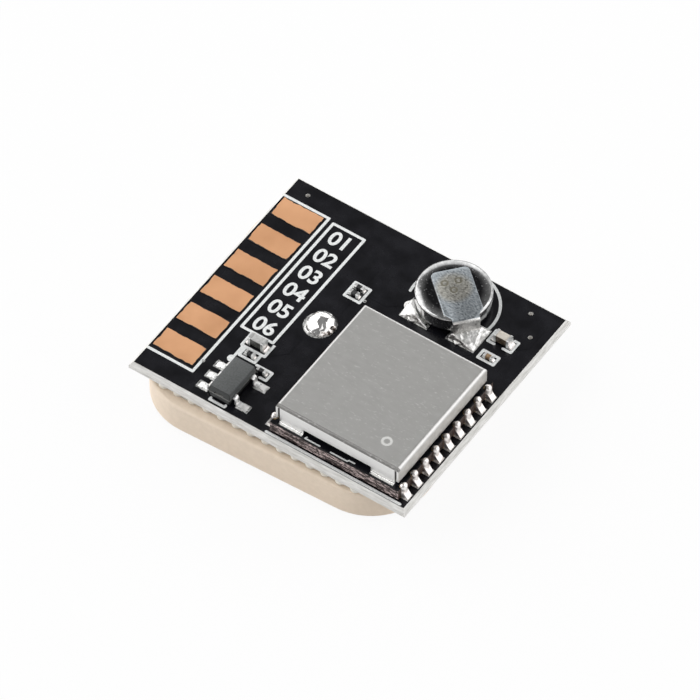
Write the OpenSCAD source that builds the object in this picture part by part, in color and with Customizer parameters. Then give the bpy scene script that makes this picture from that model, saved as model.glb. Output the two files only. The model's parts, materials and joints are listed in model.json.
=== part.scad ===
// Satellite positioning module. A carrier board with edge pads holds a castellated receiver under
// a folded shield can, a backup cell with welded tabs and a voltage regulator. A ceramic patch
// antenna is taped under the board, and its feed pin is soldered on the board's upper face.
// Lengths are in millimetres. The origin lies on the resting surface, under the board's centre.

/* [Carrier board] */
// Thickness of the carrier board
board_t = 0.8; // [0.6:0.1:1.6]
// How far the snapped web stands out of each scored edge
web_out = 0.24; // [0.1:0.02:0.4]
// Thickness of the snapped web
web_t = 0.24; // [0.16:0.04:0.4]
// Thickness of the copper on the boards
copper_t = 0.04; // [0.03:0.01:0.1]
// Diameter of a via
via_d = 0.3; // [0.2:0.05:0.5]
// Distance of the corner vias from the back edge
via_back = 0.8; // [0.5:0.05:1.2]
// Distance of the left corner via from the left edge
via_left = 1.26; // [0.6:0.02:2]
// Distance of the right corner via from the right edge
via_right = 2.05; // [1:0.05:3]
// Distance of the side via from the right edge
side_via_right = 1.04; // [0.6:0.02:1.2]
// Distance of the side via from the back edge
side_via_back = 2.4; // [1.6:0.05:2.6]

/* [Layout of the carrier] */
// Strip of board between the edge pads and the receiver
parts_strip = 6.85; // [6.2:0.05:9]
// Strip of board behind the receiver
cell_strip = 7.2; // [6.6:0.1:10]
// Bare board between the receiver and the right edge
module_side_gap = 0.6; // [0.55:0.05:1.5]
// Bare board between the receiver and the front edge
module_front_gap = 0.3; // [0.25:0.05:1.5]

/* [Edge pads] */
// Number of contact pads
pad_count = 6; // [4:1:8]
// Spacing of the contact pads
pad_pitch = 2.54; // [2:0.02:3]
// Length of a contact pad, from the edge inwards
pad_l = 3; // [2:0.1:4]
// Width of a contact pad
pad_w = 1.6; // [1:0.1:1.9]
// Bare board between the contact pads and the left edge
pad_edge_gap = 0.15; // [0.05:0.05:0.5]
// Least bare board beyond the two end pads
pad_end_gap = 1; // [0.5:0.1:2]

/* [Patch antenna] */
// Length of the ceramic block
antenna_l = 19.6; // [18:0.1:22]
// Width of the ceramic block
antenna_w = 18.8; // [18:0.1:22]
// Thickness of the ceramic block
antenna_t = 2.2; // [1.5:0.1:4]
// Radius of the ceramic block's four corners
antenna_corner = 4.1; // [2:0.1:5]
// Rounding of the ceramic block's edges
antenna_edge = 0.2; // [0.1:0.05:0.4]
// Turn of the ceramic block against the board
antenna_turn = 2.3; // [-3:0.1:3]
// Offset of the ceramic block from the board's centre, along the board's length
antenna_dx = -0.8; // [-1:0.05:0]
// Offset of the ceramic block from the board's centre, along the board's width
antenna_dy = -0.05; // [-0.5:0.05:0.5]
// Thickness of the silver electrodes
electrode_t = 0.04; // [0.03:0.01:0.1]
// Bare ceramic round the ground electrode
ground_inset = 0.8; // [0.3:0.1:1.5]
// Length of the radiating electrode
patch_l = 14.6; // [12:0.1:16]
// Width of the radiating electrode
patch_w = 14.2; // [12:0.1:16]
// Size of the two trimmed corners of the radiating electrode
patch_trim = 1.4; // [0.5:0.1:3]

/* [Antenna feed] */
// Distance of the feed pin from the ceramic block's centre
feed_offset = 1.45; // [1:0.05:3]
// Diameter of the feed pin
feed_d = 0.8; // [0.6:0.05:1]
// Diameter of the feed pin's head
feed_head_d = 2; // [1.4:0.1:2.4]
// Thickness of the feed pin's head
feed_head_t = 0.2; // [0.1:0.05:0.4]
// Height of the feed pin above the carrier board
feed_rise = 0.42; // [0.2:0.02:0.5]
// Play round the feed pin in the ceramic block and the board
feed_play = 0.1; // [0.05:0.01:0.2]
// Gap left round the feed pin's tip in its solder
feed_fit = 0.01; // [0.005:0.005:0.03]
// Diameter of the clear ring round the feed pin in the ground electrode and the tape
feed_clear_d = 2.4; // [2:0.1:3]
// Diameter of the solder dome over the feed pin
dome_d = 2.05; // [1.6:0.05:2.4]
// Height of the solder dome
dome_h = 0.7; // [0.6:0.05:0.9]

/* [Adhesive tape] */
// Thickness of the tape
tape_t = 0.25; // [0.1:0.05:0.5]
// Bare ceramic at each end of the tape
tape_end_inset = 1.7; // [1:0.05:3]
// Bare ceramic beside the tape's scalloped edges
tape_side_inset = 0.65; // [0.5:0.05:2]
// Spacing of the scallops along the tape's cut edges
scallop_pitch = 1.1; // [0.8:0.05:1.5]
// Radius of a scallop
scallop_r = 0.4; // [0.3:0.05:0.5]
// How far a scallop stands out of the tape's edge
scallop_out = 0.18; // [0.1:0.02:0.3]

/* [Receiver board] */
// Length of the receiver's own board
module_l = 9.5; // [9:0.1:12]
// Thickness of the receiver's own board
module_t = 0.8; // [0.6:0.1:1.2]
// Number of castellations on each side
cast_count = 9; // [8:1:12]
// Spacing of the castellations
cast_pitch = 1.15; // [1.1:0.01:1.4]
// Board beyond the centre of the end castellations
cast_end = 0.55; // [0.4:0.05:1]
// Radius of a castellation
cast_r = 0.25; // [0.2:0.01:0.3]
// Thickness of the plating in a castellation
plate_t = 0.03; // [0.02:0.01:0.05]
// Width of a castellation's land
cast_land_w = 0.62; // [0.54:0.02:0.8]
// Length of a castellation's land under the receiver
cast_land_in = 0.7; // [0.5:0.05:1]
// Length of a castellation's land outside the receiver
cast_land_out = 0.52; // [0.5:0.01:0.55]
// How far a castellation's solder runs out on its land
cast_toe = 0.5; // [0.35:0.01:0.5]
// Width of a castellation's solder at its toe
cast_toe_w = 0.46; // [0.3:0.02:0.48]
// Height at which a castellation's solder starts to run out
cast_ramp = 0.55; // [0.3:0.05:0.7]

/* [Shield can] */
// Distance of the can from the receiver board's castellated sides
can_side_inset = 0.22; // [0.18:0.01:0.6]
// Distance of the can from the receiver board's plain sides
can_end_inset = 0.35; // [0.3:0.05:0.6]
// Height of the can
can_h = 1.5; // [1.3:0.05:2]
// Thickness of the can's sheet
can_t = 0.15; // [0.1:0.01:0.18]
// Outer radius of the can's bends
can_bend = 0.22; // [0.2:0.01:0.4]
// Width of the slits at the can's corners
slit_w = 0.14; // [0.1:0.02:0.3]
// Width of the opening in the can's front wall
notch_w = 5; // [3:0.1:6]
// Height of the opening in the can's front wall
notch_h = 0.4; // [0.3:0.05:0.9]
// Gap under the can's walls on the castellated sides
can_lift = 0.3; // [0.25:0.05:0.5]
// How far the lands under the can's feet stand out on each side of its wall
shield_land_out = 0.2; // [0.08:0.01:0.25]
// Radius of the solder along the can's feet
shield_fillet = 0.06; // [0.03:0.01:0.08]

/* [Parts under the can] */
// Gap between the can's walls and the parts next to them
inner_gap = 0.3; // [0.15:0.05:0.5]
// Gap between neighbouring parts
stack_gap = 0.25; // [0.15:0.05:0.3]
// Side of the receiver chip
receiver_side = 5; // [4:0.1:5.2]
// Height of the receiver chip's body
receiver_h = 0.8; // [0.5:0.05:0.9]
// Number of terminals on each side of the receiver chip
receiver_pins = 10; // [6:1:12]
// Spacing of the receiver chip's terminals
receiver_pitch = 0.4; // [0.35:0.01:0.4]
// Length of a terminal
terminal_l = 0.4; // [0.3:0.05:0.5]
// Width of a terminal
terminal_w = 0.2; // [0.1:0.02:0.25]
// Bare band between the terminals and the chip's middle plate
terminal_band = 0.35; // [0.2:0.05:0.6]
// Length of the reference oscillator
oscillator_l = 2; // [1.6:0.1:2.2]
// Width of the reference oscillator
oscillator_w = 1.6; // [1.2:0.1:1.8]
// Height of the reference oscillator's ceramic base
oscillator_h = 0.5; // [0.3:0.05:0.7]
// Length of the clock crystal
crystal_l = 2; // [1.6:0.1:2.2]
// Width of the clock crystal
crystal_w = 1.2; // [1:0.1:1.6]
// Height of the clock crystal's ceramic base
crystal_h = 0.45; // [0.3:0.05:0.7]
// Thickness of the metal lids on the oscillator and the crystal
lid_t = 0.12; // [0.08:0.02:0.3]
// Ceramic rim left round the metal lids
lid_rim = 0.12; // [0.08:0.02:0.2]
// Length of the signal filter
filter_l = 1.4; // [1:0.1:1.6]
// Width of the signal filter
filter_w = 1.1; // [0.8:0.1:1.6]
// Height of the signal filter
filter_h = 0.5; // [0.3:0.05:0.9]
// Length of the signal amplifier
amplifier_l = 1.5; // [1:0.1:1.6]
// Width of the signal amplifier
amplifier_w = 1; // [0.8:0.1:1.6]
// Height of the signal amplifier
amplifier_h = 0.45; // [0.3:0.05:0.9]
// Number of small chips in the row before the receiver chip
row_count = 5; // [2:1:5]

/* [Backup cell] */
// Diameter of the cell
cell_d = 4.9; // [4:0.1:5.2]
// Height of the cell
cell_h = 1.3; // [1:0.05:1.6]
// Thickness of the cell's can
cell_wall = 0.15; // [0.1:0.01:0.2]
// Radius of the rim, rolled in under the cell
cell_roll = 0.32; // [0.25:0.01:0.4]
// Radius of the can's edge round its top
cell_edge = 0.15; // [0.1:0.01:0.2]
// Width of the gasket between the cell's can and its cap
gasket_w = 0.1; // [0.06:0.02:0.16]
// How far the cap stands out under the rolled rim
cap_rise = 0.08; // [0.05:0.01:0.15]
// Distance of the cell's centre from the right edge
cell_side = 6.4; // [6:0.1:8]
// Distance of the cell's centre from the back edge
cell_back = 2.9; // [2.75:0.05:3.2]

/* [Cell tabs] */
// Thickness of the tabs
tab_t = 0.15; // [0.1:0.01:0.2]
// Width of the upper tab on the cell
tab_w = 2.5; // [2:0.05:2.6]
// Width of the upper tab at its bend
tab_neck = 1.75; // [1.2:0.05:1.9]
// Length of the upper tab behind the cell's centre
tab_tail = 1.5; // [0.8:0.1:1.7]
// Length of the taper to the neck
tab_taper = 0.4; // [0.2:0.05:0.6]
// Rounding of the upper tab's corners
tab_corner = 0.35; // [0.1:0.05:0.5]
// Length of the neck before its bend
tab_shoulder = 0.12; // [0.05:0.01:0.2]
// Inner radius of the upper tab's bends
tab_bend = 0.1; // [0.05:0.01:0.2]
// Gap between the cell's side and the upper tab's leg
tab_gap = 0.12; // [0.08:0.02:0.2]
// Length of the upper tab's foot
tab_foot = 0.4; // [0.3:0.05:0.9]
// Width of the lower tab
low_tab_w = 1.7; // [1.2:0.05:2]
// How far the lower tab stands out from under the cell
low_tab_out = 0.6; // [0.4:0.05:0.9]
// Direction of the upper tab
tab_turn = -41; // [-50:1:-30]
// How far the upper tab lies to one side of the cell's centre
tab_side = 0.1; // [0:0.02:0.2]
// Side of a tab's land
tab_land = 2.1; // [1.8:0.05:2.3]
// Direction of the upper tab's land from the cell's centre
upper_land_turn = -35.5; // [-45:0.5:-30]
// Direction of the lower tab's land from the cell's centre
lower_land_turn = -129; // [-135:0.5:-125]
// How far the lower tab's land lies in under the cell's side
lower_land_in = 0.4; // [0.2:0.05:0.6]
// Height of the solder where it climbs the upper tab's leg
upper_mound_h = 0.55; // [0.4:0.05:0.7]
// Height of the solder beside the cell, over the lower tab
lower_mound_h = 0.5; // [0.3:0.05:0.6]
// Width of the solder beside the cell, over the lower tab
lower_mound_w = 1.1; // [0.8:0.05:1.4]
// Bare rim of a tab's land round its solder
mound_rim = 0.06; // [0.03:0.01:0.1]
// Thickness of the solder at its edge
mound_edge = 0.03; // [0.02:0.01:0.05]
// Gap between the lower solder and the cell's side
mound_gap = 0.05; // [0.02:0.01:0.1]

/* [Regulator] */
// Length of the regulator's body
regulator_l = 2.9; // [2.6:0.05:3.1]
// Width of the regulator's body
regulator_w = 1.6; // [1.4:0.05:1.8]
// Height of the regulator's body
regulator_h = 1; // [0.8:0.05:1.2]
// Gap under the regulator's body
regulator_lift = 0.08; // [0.04:0.02:0.12]
// How far the body's ends and sides draw in towards top and bottom
regulator_draft = 0.08; // [0.04:0.01:0.12]
// Spacing of the leads
lead_pitch = 0.95; // [0.8:0.05:1]
// Width of a lead
lead_w = 0.4; // [0.3:0.05:0.5]
// Thickness of a lead
lead_t = 0.13; // [0.1:0.01:0.18]
// Inner radius of a lead's bends
lead_bend = 0.08; // [0.05:0.01:0.1]
// Length of a lead before its first bend
lead_shoulder = 0.07; // [0.04:0.01:0.15]
// Length of a lead's foot
lead_foot = 0.28; // [0.2:0.02:0.4]
// Bare copper at a lead's heel and sides
lead_land_rim = 0.1; // [0.06:0.02:0.14]
// Bare copper beyond a lead's toe
lead_land_toe = 0.5; // [0.4:0.02:0.6]
// Length of the solder at a lead's toe
lead_slope = 0.4; // [0.2:0.02:0.4]
// Distance of the regulator's centre from the edge pads
regulator_side = 3; // [2.8:0.05:3.2]
// Distance of the regulator's centre from the front edge
regulator_front = 1.8; // [1.7:0.05:1.9]

/* [Chip capacitors and resistors] */
// Length of a large chip
large_l = 1.1; // [0.9:0.05:1.2]
// Width of a large chip
large_w = 0.6; // [0.4:0.05:0.7]
// Height of a large chip
large_h = 0.65; // [0.4:0.05:0.75]
// Length of a small chip
small_l = 0.65; // [0.55:0.05:0.75]
// Width of a small chip
small_w = 0.33; // [0.28:0.01:0.38]
// Height of a small chip
small_h = 0.3; // [0.24:0.01:0.36]
// Length of a large chip's metal ends
large_end = 0.16; // [0.14:0.01:0.3]
// Length of a small chip's metal ends
small_end = 0.16; // [0.12:0.01:0.2]
// Thickness of the metal ends
end_t = 0.03; // [0.02:0.01:0.04]
// Rounding of the metal ends
end_round = 0.06; // [0.04:0.01:0.08]
// Radius of the solder at a large chip's ends
large_fillet = 0.25; // [0.15:0.01:0.3]
// Radius of the solder at a small chip's ends
small_fillet = 0.12; // [0.08:0.01:0.14]

/* [Places of the chips] */
// Distance of the input capacitor from the edge pads
input_side = 2.41; // [2:0.01:3]
// Distance of the input capacitor from the front edge
input_front = 5.37; // [5.1:0.01:6.5]
// Distance of the first resistor from the edge pads
first_side = 2.5; // [2.2:0.05:3]
// Distance of the first resistor from the front edge
first_front = 4.42; // [4.2:0.01:4.6]
// Distance of the second resistor from the edge pads
second_side = 3.85; // [3.7:0.05:5]
// Distance of the second resistor from the front edge
second_front = 3.72; // [3.6:0.02:3.9]
// Distance of the pair of resistors from the receiver
pair_side = 1.78; // [1.2:0.02:2]
// Distance of the pair of resistors from the back edge
pair_back = 5.49; // [5:0.01:6]
// Spacing of the pair of resistors
pair_pitch = 0.57; // [0.5:0.01:0.7]
// Distance of the backup capacitor from the right edge
backup_side = 2.21; // [1.6:0.01:2.3]
// Distance of the backup capacitor from the back edge
backup_back = 3.64; // [3.3:0.01:3.9]
// Distance of the bypass capacitor from the right edge
bypass_side = 2.23; // [1.4:0.01:2.5]
// Distance of the bypass capacitor from the back edge
bypass_back = 5.23; // [5:0.01:5.8]

/* [Hidden] */
$fn = 48;

// Longer than any piece, for half-space cuts
far = 60;

// The receiver's width follows from its castellations, and the carrier's outline from what it holds
module_w = (cast_count - 1) * cast_pitch + 2 * cast_end;
pads_w = (pad_count - 1) * pad_pitch + pad_w + 2 * pad_end_gap;
pads_end = pad_edge_gap + pad_l;
board_l = pads_end + parts_strip + module_l + module_side_gap;
board_w = max(module_front_gap + module_w + cell_strip, pads_w);

// Heights, from the resting surface up
ceramic_z = feed_head_t + electrode_t;
ground_z = ceramic_z + antenna_t;
tape_z = ground_z + electrode_t;
board_z = tape_z + tape_t;
top_z = board_z + board_t;
land_z = top_z + copper_t;
module_z = land_z + copper_t;
module_top_z = module_z + module_t;
can_z = module_top_z + copper_t;

// The feed pin's place, in the antenna's own turned frame
feed_x = antenna_dx - feed_offset * cos(antenna_turn);
feed_y = antenna_dy - feed_offset * sin(antenna_turn);
feed_hole_d = feed_d + 2 * feed_play;

// Places on the board, from its front left corner
module_x = board_l - module_side_gap - module_l / 2;
module_y = module_front_gap + module_w / 2;
regulator_x = pads_end + regulator_side;
cell_x = board_l - cell_side;
cell_y = board_w - cell_back;
vias = [
    [via_left, board_w - via_back],
    [board_l - via_right, board_w - via_back],
    [board_l - side_via_right, board_w - side_via_back]
];

// The shield can, and the space inside its walls
can_l = module_l - 2 * can_side_inset;
can_w = module_w - 2 * can_end_inset;
inner_l = can_l - 2 * can_t;
inner_w = can_w - 2 * can_t;
foot_l = (can_l - notch_w) / 2 - can_t - slit_w;
foot_x = (notch_w + foot_l) / 2;

// The column of parts along the can's right wall, from the back forwards
column_x = inner_l / 2 - inner_gap;
oscillator_y = inner_w / 2 - inner_gap - oscillator_l / 2;
crystal_y = oscillator_y - oscillator_l / 2 - stack_gap - crystal_l / 2;
amplifier_y = crystal_y - crystal_l / 2 - stack_gap - amplifier_l / 2;
filter_y = amplifier_y - amplifier_l / 2 - stack_gap - filter_l / 2;

// The receiver chip in the back left corner, and the row of small chips before it
receiver_x = -inner_l / 2 + inner_gap + receiver_side / 2;
receiver_y = inner_w / 2 - inner_gap - receiver_side / 2;
row_y = receiver_y - receiver_side / 2 - stack_gap - small_l / 2;
row_x = receiver_x - receiver_side / 2 + small_w / 2;
row_step = (receiver_side - small_w) / (row_count - 1);

// The cell stands on its lower tab, and the upper tab steps down beside it
cell_r = cell_d / 2;
cell_z = land_z + tab_t;
rim_h = cell_h - cap_rise;
cap_r = cell_r - cell_roll - gasket_w;
leg_r = cell_r + tab_gap;
neck_start = leg_r - tab_bend - tab_shoulder;

// The regulator's leads leave its body at half its height
lead_rise = regulator_lift + regulator_h / 2 + lead_t / 2;
lead_reach = lead_shoulder + 2 * lead_bend + lead_t + lead_foot;
lead_land_l = lead_land_rim + lead_foot + lead_land_toe;

// Chip sizes and places
large = [large_l, large_w, large_h, large_end, large_fillet];
small = [small_l, small_w, small_h, small_end, small_fillet];
input_at = [pads_end + input_side, input_front];
backup_at = [board_l - backup_side, board_w - backup_back];
bypass_at = [board_l - bypass_side, board_w - bypass_back];
resistors_at = [
    [pads_end + first_side, first_front],
    [pads_end + second_side, second_front],
    for (s = [-1, 1])
        [module_x - module_l / 2 - pair_side, board_w - pair_back + s * pair_pitch / 2]
];

// Shapes that repeat

// A place on the carrier board, from its front left corner
module on_board(at, z) {
    translate([at[0] - board_l / 2, at[1] - board_w / 2, z]) children();
}

// The antenna's own turned frame
module at_antenna(z) {
    translate([antenna_dx, antenna_dy, z]) rotate(antenna_turn) children();
}

module at_feed(z) {
    translate([feed_x, feed_y, z]) children();
}

module on_module(z) {
    on_board([module_x, module_y], z) children();
}

module on_cell(turn, z) {
    on_board([cell_x, cell_y], z) rotate(turn) children();
}

// A box centred in plan, standing on z = 0
module slab(l, w, h) {
    translate([-l / 2, -w / 2, 0]) cube([l, w, h]);
}

// Profiles drawn with x across and y up, swept along the Y axis or along the X axis
module sweep_y(length) {
    translate([0, length / 2, 0]) rotate([90, 0, 0]) linear_extrude(length) children();
}

module sweep_x(length) {
    rotate(90) sweep_y(length) children();
}

module round_rect(l, w, r) {
    square([l - 2 * r, w], center = true);
    square([l, w - 2 * r], center = true);
    for (x = [-1, 1], y = [-1, 1])
        translate([x * (l / 2 - r), y * (w / 2 - r)]) circle(r);
}

// A quarter of a ring, in the quadrant x > 0, y > 0
module quarter_ring(inner, wall) {
    intersection() {
        difference() {
            circle(inner + wall);
            circle(inner);
        }
        square(inner + wall);
    }
}

// The concave triangle that solder leaves between a flat and a wall
module fillet(r) {
    difference() {
        square(r);
        translate([r, r]) circle(r);
    }
}

// A strip that leaves level, bends down, drops, bends out again and ends in a foot on y = 0
module step_profile(shoulder, rise, foot, t, bend) {
    translate([0, rise - t]) square([shoulder, t]);
    translate([shoulder, rise - t - bend]) quarter_ring(bend, t);
    translate([shoulder + bend, t + bend]) square([t, rise - 2 * t - 2 * bend]);
    translate([shoulder + 2 * bend + t, t + bend]) rotate(180) quarter_ring(bend, t);
    translate([shoulder + 2 * bend + t, 0]) square([foot, t]);
}

// Half of a plate's section, with its outer edges rounded
module edge_profile(reach, t, r) {
    square([reach - r, t]);
    translate([0, r]) square([reach, t - 2 * r]);
    for (y = [r, t - r])
        translate([reach - r, y]) circle(r);
}

// A plate with round corners and rounded edges
module soft_plate(l, w, t, corner, edge) {
    side_l = l - 2 * corner;
    side_w = w - 2 * corner;
    slab(side_l, side_w, t);
    for (s = [0, 180]) {
        rotate(s) translate([side_l / 2, 0, 0]) sweep_y(side_w) edge_profile(corner, t, edge);
        rotate(s) translate([0, side_w / 2, 0]) sweep_x(side_l) edge_profile(corner, t, edge);
    }
    for (q = [0:3]) {
        x = (q == 0 || q == 3) ? 1 : -1;
        y = (q < 2) ? 1 : -1;
        translate([x * side_l / 2, y * side_w / 2, 0])
            rotate(q * 90) rotate_extrude(angle = 90) edge_profile(corner, t, edge);
    }
}

// A cap cut from a sphere, standing on z = 0
module dome(d, h) {
    r = (d * d / 4 + h * h) / (2 * h);
    intersection() {
        translate([0, 0, h - r]) sphere(r);
        slab(2 * d, 2 * d, h);
    }
}

// The outline of a folded sheet seen along its walls, with both upper bends rounded
module arch(w, h, r) {
    translate([-w / 2, 0]) square([w, h - r]);
    translate([-w / 2 + r, 0]) square([w - 2 * r, h]);
    for (x = [-1, 1])
        translate([x * (w / 2 - r), h - r]) circle(r);
}

module vault(l, w, h, r) {
    intersection() {
        sweep_y(w) arch(l, h, r);
        sweep_x(l) arch(w, h, r);
    }
}

// A chip along X: its ceramic body, its two metal ends, its lands and its solder
function end_l(size) = size[3];
function climb(size) = size[4];

module chip_body(size) {
    translate([0, 0, end_t])
        slab(size[0] - 2 * end_t, size[1] - 2 * end_t, size[2] - 2 * end_t);
}

module chip_ends(size) {
    for (s = [0, 180])
        difference() {
            rotate(s) translate([(size[0] - end_l(size)) / 2, 0, size[2] / 2])
                sweep_x(end_l(size)) round_rect(size[1], size[2], end_round);
            chip_body(size);
        }
}

module chip_lands(size) {
    reach = size[0] / 2 + climb(size);
    length = end_l(size) + climb(size);
    for (s = [-1, 1])
        translate([s * (reach - length / 2), 0, 0]) slab(length, size[1], copper_t);
}

module chip_fillets(size) {
    for (s = [0, 180])
        rotate(s) translate([size[0] / 2, 0, 0])
            sweep_y(size[1] - 2 * end_round) fillet(climb(size));
}

// Both edges of a castellated side, each castellation with its edge at x = 0 and the board at x < 0
module each_castellation() {
    for (s = [0, 180], i = [0:cast_count - 1])
        rotate(s) translate([module_l / 2, (i - (cast_count - 1) / 2) * cast_pitch, 0]) children();
}

// The five leads, each with the body's face at x = 0 and the lead running to x > 0
module each_lead() {
    for (y = [-1, 0, 1])
        rotate(180) translate([regulator_w / 2, y * lead_pitch, 0]) children();
    for (y = [-1, 1])
        translate([regulator_w / 2, y * lead_pitch, 0]) children();
}

// The pieces, from the carrier up

module scored_profile(w) {
    low = (board_t - web_t) / 2;
    polygon([
        [-w / 2, 0], [w / 2, 0], [w / 2 + web_out, low], [w / 2 + web_out, low + web_t],
        [w / 2, board_t], [-w / 2, board_t], [-w / 2 - web_out, low + web_t], [-w / 2 - web_out, low]
    ]);
}

module carrier_board() {
    color([0.09, 0.09, 0.11])
        difference() {
            translate([0, 0, board_z])
                intersection() {
                    sweep_y(board_w + 2 * web_out) scored_profile(board_l);
                    sweep_x(board_l + 2 * web_out) scored_profile(board_w);
                }
            at_feed(0) cylinder(d = feed_hole_d, h = far);
            for (v = vias)
                on_board(v, 0) cylinder(d = via_d, h = far);
        }
}

module edge_pads() {
    color([0.86, 0.6, 0.42])
        for (i = [0:pad_count - 1])
            on_board([pad_edge_gap + pad_l / 2, board_w / 2 + (i - (pad_count - 1) / 2) * pad_pitch], top_z)
                slab(pad_l, pad_w, copper_t);
}

// Squares under the tabs, in line with the board
module upper_square(side, h) {
    rotate(upper_land_turn) translate([leg_r, 0, 0]) rotate(-upper_land_turn) slab(side, side, h);
}

module lower_square(side, h) {
    reach = cell_r - lower_land_in;
    rotate(lower_land_turn) translate([reach, 0, 0]) rotate(-lower_land_turn) slab(side, side, h);
}

module solder_lands() {
    color([0.75, 0.75, 0.74]) {
        at_feed(top_z)
            difference() {
                cylinder(d = dome_d, h = copper_t);
                translate([0, 0, -copper_t]) cylinder(d = feed_hole_d, h = 3 * copper_t);
            }
        on_module(top_z) each_castellation()
            translate([(cast_land_out - cast_land_in) / 2, 0, 0])
                slab(cast_land_in + cast_land_out, cast_land_w, copper_t);
        on_board([regulator_x, regulator_front], top_z) each_lead()
            translate([lead_reach - lead_foot - lead_land_rim + lead_land_l / 2, 0, 0])
                slab(lead_land_l, lead_w + 2 * lead_land_rim, copper_t);
        on_cell(0, top_z) upper_square(tab_land, copper_t);
        on_cell(0, top_z) lower_square(tab_land, copper_t);
        on_board(input_at, top_z) chip_lands(large);
        on_board(backup_at, top_z) chip_lands(large);
        on_board(bypass_at, top_z) chip_lands(small);
        for (at = resistors_at)
            on_board(at, top_z) chip_lands(small);
    }
}

module adhesive_tape() {
    tape_l = antenna_l - 2 * tape_end_inset;
    tape_w = antenna_w - 2 * tape_side_inset;
    scallops = floor(tape_l / scallop_pitch);
    color([0.93, 0.92, 0.88])
        translate([antenna_dx, antenna_dy, tape_z])
            difference() {
                linear_extrude(tape_t) {
                    square([tape_l, tape_w], center = true);
                    for (s = [-1, 1], i = [0:scallops - 1])
                        translate([
                            (i - (scallops - 1) / 2) * scallop_pitch,
                            s * (tape_w / 2 + scallop_out - scallop_r)
                        ]) circle(scallop_r);
                }
                translate([feed_x - antenna_dx, feed_y - antenna_dy, -tape_t])
                    cylinder(d = feed_clear_d, h = 3 * tape_t);
            }
}

module antenna_ceramic() {
    color([0.83, 0.77, 0.7])
        difference() {
            at_antenna(ceramic_z) soft_plate(antenna_l, antenna_w, antenna_t, antenna_corner, antenna_edge);
            at_feed(0) cylinder(d = feed_hole_d, h = far);
        }
}

module antenna_ground() {
    color([0.8, 0.8, 0.78])
        difference() {
            at_antenna(ground_z)
                linear_extrude(electrode_t)
                    round_rect(
                        antenna_l - 2 * ground_inset,
                        antenna_w - 2 * ground_inset,
                        antenna_corner - ground_inset
                    );
            at_feed(0) cylinder(d = feed_clear_d, h = far);
        }
}

module antenna_patch() {
    l = patch_l / 2;
    w = patch_w / 2;
    color([0.85, 0.85, 0.83])
        difference() {
            at_antenna(feed_head_t)
                linear_extrude(electrode_t)
                    polygon([
                        [-l, -w], [l - patch_trim, -w], [l, -w + patch_trim],
                        [l, w], [-l + patch_trim, w], [-l, w - patch_trim]
                    ]);
            at_feed(0) cylinder(d = feed_hole_d, h = far);
        }
}

module feed_pin() {
    color([0.78, 0.76, 0.7])
        at_feed(0) {
            cylinder(d = feed_head_d, h = feed_head_t);
            cylinder(d = feed_d, h = top_z + feed_rise);
        }
}

module feed_solder() {
    color([0.8, 0.81, 0.82])
        at_feed(land_z)
            difference() {
                dome(dome_d, dome_h);
                translate([0, 0, -copper_t])
                    cylinder(d = feed_d + 2 * feed_fit, h = feed_rise + feed_fit);
            }
}

// The pieces of the receiver

module receiver_board() {
    color([0.24, 0.16, 0.14])
        on_module(module_z)
            difference() {
                slab(module_l, module_w, module_t);
                each_castellation()
                    translate([0, 0, -module_t]) cylinder(r = cast_r, h = 3 * module_t);
            }
}

module castellation_plating() {
    bore_r = cast_r - plate_t;
    color([0.8, 0.66, 0.42])
        on_module(land_z) each_castellation()
            difference() {
                union() {
                    translate([0, 0, copper_t])
                        intersection() {
                            cylinder(r = cast_r, h = module_t);
                            translate([-cast_r, 0, 0]) slab(2 * cast_r, 2 * cast_r, module_t);
                        }
                    translate([-cast_land_in / 2, 0, 0]) slab(cast_land_in, cast_land_w, copper_t);
                }
                translate([0, 0, -module_t]) cylinder(r = bore_r, h = 3 * module_t);
            }
}

// A column fills the notch and stands out of it, with a round top and a toe that runs out on the land
module castellation_solder() {
    bore_r = cast_r - plate_t;
    rise = copper_t + module_t;
    color([0.84, 0.82, 0.8])
        on_module(land_z) each_castellation() {
            intersection() {
                union() {
                    cylinder(r = cast_r, h = rise);
                    translate([0, 0, rise]) sphere(cast_r);
                }
                translate([far / 2, 0, 0]) slab(far, far, far);
            }
            intersection() {
                union() {
                    cylinder(r = bore_r, h = rise);
                    translate([0, 0, rise]) sphere(bore_r);
                }
                translate([-far / 2, 0, 0]) slab(far, far, far);
            }
            sweep_y(cast_toe_w) polygon([[0, 0], [cast_toe, 0], [cast_r / 2, cast_ramp], [0, cast_ramp]]);
        }
}

// The feet of the can's plain walls, each with the wall's outer face at y = 0 and the inside at y > 0
module each_foot() {
    for (x = [-1, 1], turn = [0, 180])
        rotate(turn) translate([x * foot_x, -can_w / 2, 0]) children();
}

module shield_land() {
    color([0.72, 0.62, 0.48])
        on_module(module_top_z) each_foot()
            translate([0, can_t / 2, 0]) slab(foot_l, can_t + 2 * shield_land_out, copper_t);
}

module shield_can() {
    slit_x = inner_l / 2 - slit_w / 2;
    slit_h = can_h - can_bend;
    wall_x = (can_l - can_t) / 2;
    wall_y = (can_w - can_t) / 2;
    color([0.68, 0.67, 0.65])
        on_module(can_z)
            difference() {
                vault(can_l, can_w, can_h, can_bend);
                translate([0, 0, -can_t]) vault(inner_l, inner_w, can_h, can_bend - can_t);
                for (x = [-1, 1], y = [-1, 1])
                    translate([x * slit_x, y * wall_y, -slit_h]) slab(slit_w, 2 * can_t, 2 * slit_h);
                for (x = [-1, 1])
                    translate([x * wall_x, 0, -can_lift]) slab(can_t + slit_w, 2 * can_w, 2 * can_lift);
                translate([0, -wall_y, -notch_h]) slab(notch_w, 2 * can_t, 2 * notch_h);
            }
}

module shield_solder() {
    color([0.8, 0.8, 0.79])
        on_module(can_z) each_foot() rotate(-90) sweep_y(foot_l) fillet(shield_fillet);
}

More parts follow.
